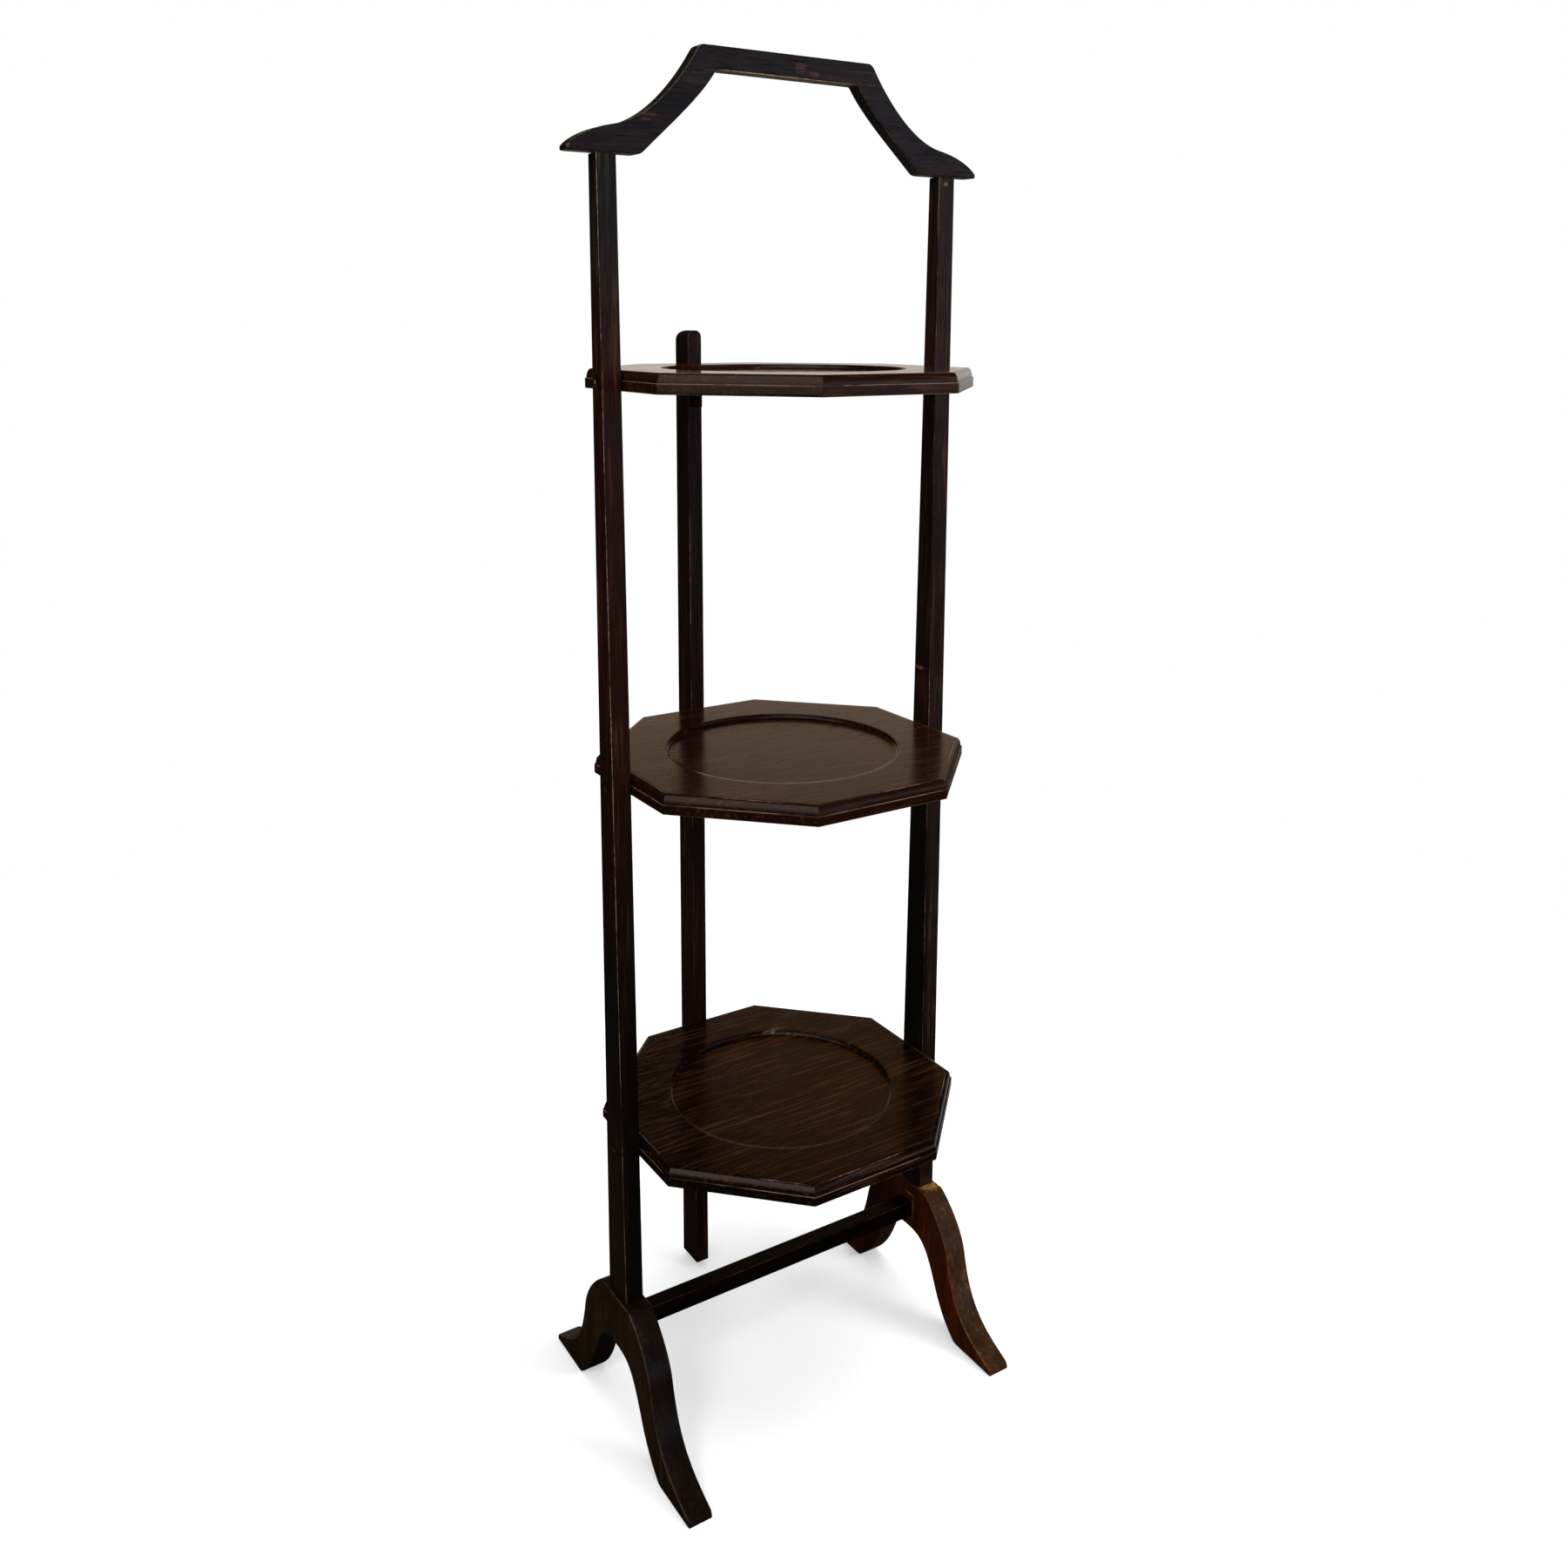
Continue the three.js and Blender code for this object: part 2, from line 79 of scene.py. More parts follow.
# Feet
FOOT_THICKNESS = 17 * MM
FOOT_HEIGHT = 100 * MM
FOOT_HALF_LENGTH = 100.4 * MM
FOOT_CROWN = 20 * MM  # half the flat top
TOE_HEIGHT = 4.5 * MM
TOE_LEAN = 1.6 * MM
ARCH_HALF_SPAN = 60 * MM
ARCH_HEIGHT = 63.5 * MM
HEEL_ROUNDING = 3.5 * MM  # how far from the arch's end the sole starts to round off
OGEE_OVERRUN = 0.6 * MM  # the ogee is steered by shares of a foot this much longer
BOARD_ARRIS = 0.9 * MM

# Stretcher
STRETCHER_TOP = 85 * MM
STRETCHER_HEIGHT = 12 * MM
STRETCHER_DEPTH = 11.5 * MM

# Handle
HANDLE_HALF_WIDTH = 145.5 * MM
HANDLE_RISE = 63.5 * MM
HANDLE_THICKNESS = 10.5 * MM
BAR_HALF_LENGTH = 61 * MM
BAR_THICKNESS = 13.5 * MM
GRIP_HALF_LENGTH = 50 * MM
PAD_END = 100 * MM  # from the middle out to where a pad starts
TIP_HEIGHT = 3 * MM
HANDLE_CORNER = 3 * MM
GRIP_CORNER = 1.2 * MM

# Strut
STRUT_HALF_WIDTH = 5.3 * MM
STRUT_FRONT = 114.4 * MM  # behind the plane of the posts
STRUT_FOOT_DEPTH = 22 * MM
STRUT_HEAD_DEPTH = 18 * MM
STRUT_BOTTOM = 5 * MM
STRUT_TOP = 728 * MM
STRUT_SIDE_ROUND = 4.5 * MM
STRUT_BACK_ROUND = 8 * MM

# Points that steer the sawn curves, as shares of the board's half length and height, and of
# the opening's for the arch
FOOT_SHOULDER = ((0.216, 1), (0.441, 0.837))
FOOT_WAIST = (0.486, 0.628)
FOOT_TOE = ((0.569, 0.246), (0.704, 0.16))
ARCH_CROWN = ((0.317, 1), (0.402, 0.926))
ARCH_SPRING = (0.603, 0.494)
ARCH_FLARE = (0.751, 0.176)
HANDLE_SWEEP = ((0.485, 0.739), (0.629, 0.331))
HANDLE_WAIST = (0.79, 0.252)
HANDLE_TIP = ((0.902, 0.204), (0.96, 0.128))
HANDLE_LIMB = ((0.411, 0.54), (0.562, 0.267))

# Pivot screws
PIVOT_HEAD_RADIUS = 3.5 * MM
PIVOT_SHANK_RADIUS = 1.8 * MM
PIVOT_HEAD_DEPTH = 2.2 * MM
PIVOT_SINK = 0.4 * MM  # of the head, below the post's outer face
PIVOT_LENGTH = 31.6 * MM
PIVOT_SLOT_WIDTH = 0.9 * MM
PIVOT_SLOT_DEPTH = 0.9 * MM
PIVOT_POINT = 3 * MM
PIVOT_THREAD = 16 * MM  # threaded length
THREAD_PITCH = 1.4 * MM
THREAD_DEPTH = 0.3 * MM
THREAD_FADE = 2 * MM  # over this length the thread rises out of the plain shank
THREAD_CREST = 1.5  # more than 1 leaves the thread's root flat
THREAD_STATIONS = 150
LEAST_TAPER = 0.12  # the point's radius as a share of the shank's
HEAD_CROWN = 0.12 * MM
CROWN_RADIUS = 3.25 * MM
SCREW_RIM = ((-0.06, -0.2), (0, -0.32), (-0.05, -0.45))  # mm beyond the head's radius, and mm up
NECK_RADIUS_GAIN = 0.1 * MM
NECK_LENGTH = 0.3 * MM
POINT_LENGTH = 0.2 * MM  # closed off in a flat cone below the last turn
TURNING_GAP = 0.3 * MM
CUTTER_OVERRUN = 2 * MM  # how far the cutters for holes and slots reach past the surface
SLOT_TURNS = {  # degrees by which each slot is turned
    ("lower", "left"): 24, ("lower", "right"): 62, ("middle", "left"): -41,
    ("middle", "right"): 12, ("top", "left"): 75, ("top", "right"): -28,
}

# The posts' plane lies in front of the middle of the stand's depth
POST_PLANE = -(STRUT_FRONT + STRUT_FOOT_DEPTH - SHELF_WIDTH / 2) / 2

# Camera, as solved from the straight edges in the photo
CAMERA_PLACE = (-483.1 * MM, -757.5 * MM + POST_PLANE, 734.5 * MM)
CAMERA_YAW = math.radians(32.58)
CAMERA_PITCH = math.radians(-11.92)
CAMERA_ROLL = math.radians(-0.24)
IMAGE_SIZE = 1801
FOCAL_PIXELS = 1627.2
HORIZONTAL_CENTRE = 900.5  # pixel column and row of the optical axis
VERTICAL_CENTRE = 712.3
SENSOR = 36  # mm

# Studio
FLOOR_RADIUS = 1.3
FLOOR_FADE = 0.45  # distance from the middle at which the floor starts to fade
FLOOR_LIFT = 0.3  # glow that the camera sees on top of the floor's white
FLOOR_WHITE = 0.9
FLOOR_DARK = 0.012  # as the light and reflections see it
FLOOR_PALE = 0.35
FLOOR_RIM = 0.02  # width of the last strip, which has faded out
FLOOR_COLUMNS = 96
PALE_SIDE = (0.85, 0.5, 0)  # the rear right, where the floor is pale in reflections
PALE_SPAN = (0.2, 0.6)
EVEN_LIGHT = 0.5  # strength of the surroundings as a plain light
BLACK = (0, 0, 0, 1)
DIM = (0.008, 0.006, 0.006, 1)
WHITE = (1, 1, 1, 1)
HIGH_LIGHT = (0.85, 0.7, 0.62, 1)
BEHIND = (0.54, 0.84, 0)
AHEAD = (0.5, -0.86, 0)
HIGH_LEFT = (-0.65, -0.45, 0.61)
BEHIND_EDGE = (0.79, 0.975)  # cosines between which each of the three sets in
AHEAD_EDGE = (0.72, 0.95)
HIGH_EDGE = (0.62, 0.92)
BACKDROP_END = (0.405, 0.43)  # high up, the backdrop ends here on the left
BACKDROP_END_HEIGHT = (0.47, 0.38)
WINDOW_SIDE = (0.35, 0.65)  # between these the window gets twice as bright to the right
BACKDROP_HEIGHTS = (-0.2, 0.8)  # sines of the rise that the two lists below run over
WINDOW_HEIGHTS = (-0.6, 0.4)
BACKDROP = (
    (0.1, (0.15, 0.12, 0.08)), (0.22, (0.75, 0.7, 0.66)), (0.29, (0.62, 0.54, 0.45)),
    (0.49, (0.39, 0.24, 0.15)), (0.6, (0.12, 0.068, 0.036)), (0.665, (0.1, 0.05, 0.015)),
    (0.73, (1.6, 0.55, 0.06)), (0.8, (0.8, 0.25, 0.02)), (0.95, (0.03, 0.012, 0.004)),
)
WINDOW = (
    (0.0, (0, 0, 0)), (0.3, (0.01, 0.005, 0.005)), (0.44, (0.06, 0.05, 0.05)),
    (0.6, (0.33, 0.31, 0.34)), (0.76, (0.36, 0.42, 0.58)), (0.88, (0.1, 0.1, 0.12)),
    (1.0, (0.03, 0.03, 0.03)),
)
LAMPS = (  # name, place, aim, size and power
    ("front_right", (1.7, -2.2, 1.9), (0, 0, 0.45), 1.3, 40),
    ("upper_left", (-1.7, -1.3, 2.1), (0, 0, 0.45), 0.8, 20),
    ("overhead", (0.3, -0.2, 3.0), (0, 0, 0.4), 2.2, 40),
)


# Curves

def bezier(start, first, second, end, count):
    """Cubic Bezier curve: the four points weighted by the Bernstein shares of t."""
    t = np.linspace(0, 1, count)[:, None]
    points = [np.asarray(p, float) for p in (start, first, second, end)]
    weights = ((1 - t) ** 3, 3 * (1 - t) ** 2 * t, 3 * (1 - t) * t ** 2, t ** 3)
    return sum(w * p for w, p in zip(weights, points))


def corner_curve(start, corner, end, count):
    """Quadratic Bezier curve: start and end blended through the corner between them."""
    t = np.linspace(0, 1, count)[:, None]
    start, corner, end = (np.asarray(p, float) for p in (start, corner, end))
    return (1 - t) ** 2 * start + 2 * (1 - t) * t * corner + t ** 2 * end


def evenly(points, count):
    """Points at equal steps of length along a broken line."""
    steps = np.hypot(*np.diff(points, axis=0).T)
    length = np.concatenate([[0], np.cumsum(steps)])
    places = np.linspace(0, length[-1], count)
    return np.stack([np.interp(places, length, points[:, k]) for k in (0, 1)], 1)


def chained(*parts):
    """Runs of points joined end to end, each shared point kept once."""
    return np.concatenate([parts[0]] + [part[1:] for part in parts[1:]])


def mirrored(line):
    """A line that starts in the middle, joined to its mirror image on the other side."""
    return np.concatenate([line[::-1] * np.array([-1, 1]), line[1:]])


# Meshes

CRISP = math.radians(28)  # edges sharper than this stay crisp
WELD = 1e-7


def grid_faces(rows, columns):
    """Index quads of a grid that closes on itself along its rows: each point with its
    neighbours in the next row and column."""
    r, c = np.meshgrid(np.arange(rows - 1), np.arange(columns), indexing="ij")
    n = (c + 1) % columns
    here, below = r * columns, (r + 1) * columns
    return np.stack([here + c, here + n, below + n, below + c], -1).reshape(-1, 4).tolist()


def face_outwards(mesh, weld=False):
    """Turns all faces outwards, with points in one place merged first where asked."""
    body = bmesh.new()
    body.from_mesh(mesh)
    if weld:
        bmesh.ops.remove_doubles(body, verts=body.verts, dist=WELD)
    bmesh.ops.recalc_face_normals(body, faces=body.faces)
    body.to_mesh(mesh)
    body.free()


def make_mesh(name, points, faces, marks=None):
    """A mesh object with welded points, faces outwards and crisp sharp edges. The marks are
    numbers for each point that the materials read by name."""
    mesh = bpy.data.meshes.new(name)
    mesh.from_pydata(np.asarray(points).reshape(-1, 3).tolist(), [], faces)
    for mark, values in (marks or {}).items():
        layer = mesh.attributes.new(mark, "FLOAT", "POINT")
        layer.data.foreach_set("value", np.asarray(values, np.float32).ravel())
    face_outwards(mesh, weld=True)
    mesh.shade_smooth()
    mesh.set_sharp_from_angle(angle=CRISP)
    thing = bpy.data.objects.new(name, mesh)
    bpy.context.collection.objects.link(thing)
    return thing


def cut(thing, cutters):
    """Takes the cutters' shapes out of a piece and drops the cutters."""
    for cutter in cutters:
        modifier = thing.modifiers.new("cut", "BOOLEAN")
        modifier.operation = "DIFFERENCE"
        modifier.solver = "EXACT"
        modifier.object = cutter
    bpy.context.view_layer.update()
    shaped = thing.evaluated_get(bpy.context.evaluated_depsgraph_get())
    mesh = bpy.data.meshes.new_from_object(shaped)
    thing.modifiers.clear()
    old = thing.data
    thing.data = mesh
    bpy.data.meshes.remove(old)
    for cutter in cutters:
        old = cutter.data
        bpy.data.objects.remove(cutter)
        bpy.data.meshes.remove(old)
    mesh.name = thing.name
    mesh.shade_smooth()
    mesh.set_sharp_from_angle(angle=CRISP)
    return thing


ARC_STEPS = 4
NEAR_EDGE = 1.2 * MM  # extra lines of points at these distances beside each rounded edge
FAR_EDGE = 3.5 * MM
LARGEST_MARGIN = 0.45  # but no further in than this share of the half face


def rounded_section(half_a, half_b, radius):
    """Rounded rectangles, one per row: each corner's centre plus the radius swung over a
    quarter turn, with two points on the flats either side. Returns the a and b of every
    point and its distance along the surface from the nearest corner's middle."""
    half_a, half_b, radius = (np.asarray(v, float)[:, None] for v in (half_a, half_b, radius))
    swing = np.linspace(0, math.pi / 2, ARC_STEPS + 1)
    lead = np.concatenate([[FAR_EDGE, NEAR_EDGE], np.zeros(ARC_STEPS + 3)])
    trail = lead[::-1]
    angle = np.concatenate([[0, 0], swing, [math.pi / 2] * 2])
    span_a, span_b = LARGEST_MARGIN * (half_a - radius), LARGEST_MARGIN * (half_b - radius)
    all_a, all_b, away = [], [], []
    for quarter in range(4):
        turn = quarter * math.pi / 2
        cos_t, sin_t = round(math.cos(turn)), round(math.sin(turn))
        sign_a = 1 if quarter in (0, 3) else -1
        sign_b = 1 if quarter in (0, 1) else -1
        span_lead, span_trail = (span_b, span_a) if quarter % 2 == 0 else (span_a, span_b)
        back = np.minimum(lead, span_lead * lead / FAR_EDGE)
        onward = np.minimum(trail, span_trail * trail / FAR_EDGE)
        u = radius * np.cos(angle) - onward
        v = radius * np.sin(angle) - back
        all_a.append(sign_a * (half_a - radius) + u * cos_t - v * sin_t)
        all_b.append(sign_b * (half_b - radius) + u * sin_t + v * cos_t)
        away.append(back + onward + radius * np.abs(angle - math.pi / 4))
    return np.concatenate(all_a, 1), np.concatenate(all_b, 1), np.concatenate(away, 1)


def skin(name, points, away, rub):
    """Closed tube from rows of section points, with a flat cap over each end. Rub says how
    worn the section's four corners are, ++, -+, -- and +- in its own two directions, on the
    whole tube or row by row."""
    rows, columns = points.shape[:2]
    faces = grid_faces(rows, columns)
    faces.append(list(range(columns))[::-1])
    faces.append(list(range((rows - 1) * columns, rows * columns)))
    worn = np.broadcast_to(np.repeat(rub, columns // 4, axis=-1), (rows, columns))
    return make_mesh(name, points, faces, {"arris": away, "rub": worn})


LARGEST_ROUNDING = 0.48  # the most that the rounding takes of a thin board's half width
END_SHARPENING = 0.8  # share of the rounding that a board's end sections lose
UNWORN_END = 2 * MM  # the distance from an edge that a board's ends are given


def board(name, outer, inner, thickness, radius, place, rub):
    """Board sawn between two curves: at each station a rounded rectangle spans from the
    inner curve's point to the outer curve's, as wide as the board is thick. The ends are
    rounded by drawing the last section in along a quarter circle. Rub is worked out from
    the middle points of the sections."""
    middle, reach = (outer + inner) / 2, (outer - inner) / 2
    half = np.hypot(*reach.T)
    along = reach / half[:, None]
    step = np.diff(middle, axis=0)
    step /= np.hypot(*step.T)[:, None]
    swing = np.linspace(0, math.pi / 2, ARC_STEPS + 1)[1:]
    pull, drop = radius * np.sin(swing), radius * (1 - np.cos(swing))
    middle = np.concatenate([
        (middle[0] + step[0] * radius - step[0] * pull[:, None])[::-1],
        middle[:1] + step[0] * radius, middle[1:-1], middle[-1:] - step[-1] * radius,
        middle[-1] - step[-1] * radius + step[-1] * pull[:, None],
    ])
    half = np.concatenate([half[0] - drop[::-1], half, half[-1] - drop])
    along = np.concatenate([along[:1].repeat(ARC_STEPS, 0), along, along[-1:].repeat(ARC_STEPS, 0)])
    deep = np.full(len(half), thickness / 2)
    deep[:ARC_STEPS] -= drop[::-1]
    deep[-ARC_STEPS:] -= drop
    round_off = np.minimum(radius, LARGEST_ROUNDING * half)
    round_off[:ARC_STEPS] *= 1 - END_SHARPENING * (drop[::-1] / radius)
    round_off[-ARC_STEPS:] *= 1 - END_SHARPENING * (drop / radius)
    a, b, away = rounded_section(half, deep, round_off)
    flat = middle[:, None, :] + a[..., None] * along[:, None, :]
    away[:ARC_STEPS + 1] = away[-ARC_STEPS - 1:] = UNWORN_END
    return skin(name, place(flat[..., 0], flat[..., 1], b), away, rub(middle))


EASE = np.array([1.0, 0.45, 0.12, 0.0]) * END_EASE  # draws in a stick's last sections


def stick(name, stations, half_a, half_b, radius, place, rub):
    """Straight stick: rounded rectangles at stations along its length. Both ends are eased."""
    inset = np.concatenate([EASE, np.zeros(len(stations) - 2), EASE[::-1]])
    places = np.concatenate([stations[0] + EASE[::-1], stations[1:-1], stations[-1] - EASE])
    wide = np.interp(places, stations, half_a) - inset
    deep = np.interp(places, stations, half_b) - inset
    a, b, away = rounded_section(wide, deep, np.full(len(places), radius))
    return skin(name, place(np.broadcast_to(places[:, None], a.shape), a, b), away, rub)


# Pieces of wood

PIVOT_MARGIN = 7 * MM  # posts have extra sections this far above and below each pivot
UPRIGHT_RUB = (0, 0, 1, 0.15)  # right rear, left rear, left front and right front
STRUT_RUB = (0, 0, 1, 0)
STRETCHER_RUB = (0.1, 0, 0, 0.2)  # upper rear, lower rear, lower front and upper front
FOOT_RUB = (0.2, 0, 0, 1)  # outer line's right, arch's right, arch's left and outer line's left
GRIP_RUB = (0, 0, 1, 0.13)  # outer rear, inner rear, inner front and outer front
LIMB_RUB = (0, 0, 0.15, 0.13)


def post(side):
    """Post: a stick that tapers front and back in a straight line from foot to head."""
    rise = np.linspace(POST_FOOT_HEIGHT + GLUE_GAP, POST_HEAD_HEIGHT - GLUE_GAP, 25)
    for height in PIVOT_HEIGHTS.values():
        rise = np.concatenate([rise, [height - PIVOT_MARGIN, height + PIVOT_MARGIN]])
    rise = np.sort(rise)
    share = (rise - POST_FOOT_HEIGHT) / (POST_HEAD_HEIGHT - POST_FOOT_HEIGHT)
    depth = (POST_FOOT_DEPTH + (POST_HEAD_DEPTH - POST_FOOT_DEPTH) * share) / 2
    width = np.full(len(rise), POST_WIDTH / 2)

    def upright(z, x, y):
        return np.stack([side * POST_CENTRE + x, POST_PLANE + y, z], -1)

    name = "left_post_oak" if side < 0 else "right_post_oak"
    shaft = stick(name, rise, width, depth, STICK_ARRIS, upright, UPRIGHT_RUB)
    return cut(shaft, [pivot_hole(side, height) for height in PIVOT_HEIGHTS.values()])


def stretcher():
    """Stretcher: a square stick from foot to foot."""
    reach = POST_CENTRE - FOOT_THICKNESS / 2 - GLUE_GAP
    run = np.linspace(-reach, reach, 20)
    high = np.full(len(run), STRETCHER_HEIGHT / 2)
    deep = np.full(len(run), STRETCHER_DEPTH / 2)

    def level(x, z, y):
        return np.stack([x, POST_PLANE + y, STRETCHER_TOP - STRETCHER_HEIGHT / 2 + z], -1)

    return stick("stretcher_oak", run, high, deep, STICK_ARRIS, level, STRETCHER_RUB)


BLUNT = 0.999  # the strut's head stops just short of the full quarter circle
STRUT_ROUNDING = 0.6  # the most that its edges take of its half width there


def strut():
    """Strut: upright front, back leaning in towards the top. Its head is rounded to the
    sides and to the back by quarter circles."""
    low = np.linspace(STRUT_BOTTOM, STRUT_TOP - STRUT_BACK_ROUND, 24)
    swing = np.linspace(0, math.pi / 2, 9)[1:]
    high = STRUT_TOP - STRUT_BACK_ROUND + STRUT_BACK_ROUND * np.sin(swing)
    z = np.concatenate([low[0] + EASE[::-1], low[1:], high])
    share = (z - STRUT_BOTTOM) / (STRUT_TOP - STRUT_BOTTOM)
    depth = STRUT_FOOT_DEPTH + (STRUT_HEAD_DEPTH - STRUT_FOOT_DEPTH) * share
    over_back = np.clip(z - (STRUT_TOP - STRUT_BACK_ROUND), 0, STRUT_BACK_ROUND)
    depth -= STRUT_BACK_ROUND - np.sqrt(STRUT_BACK_ROUND ** 2 - over_back ** 2)
    over_side = np.clip(z - (STRUT_TOP - STRUT_SIDE_ROUND), 0, STRUT_SIDE_ROUND * BLUNT)
    wide = STRUT_HALF_WIDTH - STRUT_SIDE_ROUND + np.sqrt(STRUT_SIDE_ROUND ** 2 - over_side ** 2)
    wide[:4] -= EASE
    radius = np.minimum(STICK_ARRIS, STRUT_ROUNDING * wide)
    a, b, away = rounded_section(wide, depth / 2, radius)
    centre = (STRUT_FRONT + depth / 2)[:, None]
    points = np.stack([a, POST_PLANE + centre + b, np.broadcast_to(z[:, None], a.shape)], -1)
    return skin("rear_strut_oak", points, away, STRUT_RUB)


def foot(side):
    """Foot: a board between the outer ogee and the arch, from toe to toe."""
    size = np.array([FOOT_HALF_LENGTH + OGEE_OVERRUN, FOOT_HEIGHT])
    crown_end = (FOOT_CROWN, FOOT_HEIGHT)
    waist = FOOT_WAIST * size
    shoulder = bezier(crown_end, *(FOOT_SHOULDER * size), waist, 80)
    toe = bezier(waist, *(FOOT_TOE * size), (FOOT_HALF_LENGTH - TOE_LEAN, TOE_HEIGHT), 80)
    opening = np.array([ARCH_HALF_SPAN, ARCH_HEIGHT])
    arch_end = (ARCH_HALF_SPAN, 0)
    sole_start = (ARCH_HALF_SPAN + HEEL_ROUNDING, 0)
    spring = ARCH_SPRING * opening
    crown = bezier((0, ARCH_HEIGHT), *(ARCH_CROWN * opening), spring, 60)
    flare = corner_curve(spring, ARCH_FLARE * opening, arch_end, 40)
    split = 28  # where the outer line passes the heel
    outer = chained(
        evenly(np.array([(0, FOOT_HEIGHT), crown_end]), 8),
        evenly(shoulder[:9], 5), evenly(shoulder[8:], 16),
        evenly(toe[:split], 10), evenly(toe[split - 1:split + 3], 5), evenly(toe[split + 2:], 16),
    )
    inner = chained(
        evenly(crown[:20], 10), evenly(crown[19:], 18), evenly(flare[:-2], 10),
        corner_curve(flare[-3], arch_end, sole_start, 5),
        evenly(np.array([sole_start, (FOOT_HALF_LENGTH, 0)]), 16),
    )

    def sideways(y, z, x):
        return np.stack([side * POST_CENTRE + x, POST_PLANE + y, z], -1)

    def rub(middle):
        return FOOT_RUB

    name = "left_foot_oak" if side < 0 else "right_foot_oak"
    outlines = mirrored(outer), mirrored(inner)
    return board(name, *outlines, FOOT_THICKNESS, BOARD_ARRIS, sideways, rub)


def handle():
    """Handle: a board between the outer sweep and the grip's inner line, tip to tip."""
    size = np.array([HANDLE_HALF_WIDTH, HANDLE_RISE])
    under = HANDLE_RISE - BAR_THICKNESS
    bar_end = (BAR_HALF_LENGTH, HANDLE_RISE)
    grip_end = (GRIP_HALF_LENGTH, under)
    pad_end = (PAD_END, 0)
    waist = HANDLE_WAIST * size
    sweep = bezier(bar_end, *(HANDLE_SWEEP * size), waist, 80)
    tip = bezier(waist, *(HANDLE_TIP * size), (HANDLE_HALF_WIDTH, TIP_HEIGHT), 40)
    limb = bezier(grip_end, *(HANDLE_LIMB * size), pad_end, 80)
    bar_start = (BAR_HALF_LENGTH - HANDLE_CORNER, HANDLE_RISE)
    grip_start = (GRIP_HALF_LENGTH - GRIP_CORNER, under)
    pad_start = (PAD_END + HANDLE_CORNER, 0)
    outer = chained(
        evenly(np.array([(0, HANDLE_RISE), bar_start]), 8), corner_curve(bar_start, bar_end, sweep[5], 7),
        evenly(sweep[5:75], 26), evenly(sweep[74:], 7), evenly(tip, 16),
    )
    inner = chained(
        evenly(np.array([(0, under), grip_start]), 8), corner_curve(grip_start, grip_end, limb[2], 7),
        evenly(limb[2:77], 26), corner_curve(limb[76], pad_end, pad_start, 7),
        evenly(np.array([pad_start, (HANDLE_HALF_WIDTH, 0)]), 16),
    )

    def upright(x, z, y):
        return np.stack([x, POST_PLANE + y, POST_HEAD_HEIGHT + z], -1)

    def rub(middle):
        return np.where(np.abs(middle[:, :1]) < GRIP_HALF_LENGTH, GRIP_RUB, LIMB_RUB)

    outlines = mirrored(outer), mirrored(inner)
    return board("handle_oak", *outlines, HANDLE_THICKNESS, BOARD_ARRIS, upright, rub)


SIDE_COLUMNS = 14  # points along each side of the octagon
CORNER_COLUMNS = 4  # points round each corner
BROAD = 10 * MM  # the distance from an edge that the middles of broad faces are given
LEDGE_REACH = 1.5 * MM  # and those of the ledge, the fillet and the moulding's foot
FILLET_REACH = 2 * MM
MOULDING_REACH = 3 * MM
COVE_REACH = 2 * MM  # at the cove's top, and what it gains to each radian
COVE_REACH_GAIN = 4 * MM
UNDER_WEAR = 0.5  # of the lower arris, the band's upper arris and the moulding
BAND_WEAR = 1
MOULDING_WEAR = 0.6
UNDERSIDE_RADII = (0, 20 * MM, 45 * MM, 75 * MM, 95 * MM)
UNDERSIDE_INSETS = (8 * MM, 4 * MM, 1.5 * MM)
SEAT_RADII = (70 * MM, 60 * MM, 45 * MM, 20 * MM, 0)
BAND_RINGS = (  # height above the underside, and distance from the nearer edge
    (1.6 * MM, 1.2 * MM), (3.2 * MM, 2.8 * MM), (BAND_HEIGHT - 1.4 * MM, 1.1 * MM),
)
FACE_RINGS = (  # share of the way from the moulding to the seat, and distance from an edge
    (0.06, 1.4 * MM), (0.2, 5 * MM), (0.5, BROAD), (0.8, 5 * MM), (0.95, 1.4 * MM),
)


def octagon_ring(inset):
    """Points of a rounded octagon that lies inside the shelf's outline by the inset: each
    side's middle moved out to the side, slid along it, with a short arc round each corner."""
    radius = max(SHELF_CORNER - inset, LEAST_CORNER)
    apothem = SHELF_WIDTH / 2 - inset
    core = apothem - radius
    half_side = core * math.tan(math.pi / 8)
    ring = []
    for side in range(8):
        turn = side * math.pi / 4
        out = np.array([math.cos(turn), math.sin(turn)])
        left = np.array([-math.sin(turn), math.cos(turn)])
        slide = np.linspace(-1, 1, SIDE_COLUMNS)[:, None] * half_side
        ring.append(out * apothem + left * slide)
        swing = turn + np.linspace(0, math.pi / 4, CORNER_COLUMNS + 2)[1:-1, None]
        corner = out * core + left * half_side
        ring.append(corner + radius * np.concatenate([np.cos(swing), np.sin(swing)], 1))
    return np.concatenate(ring)


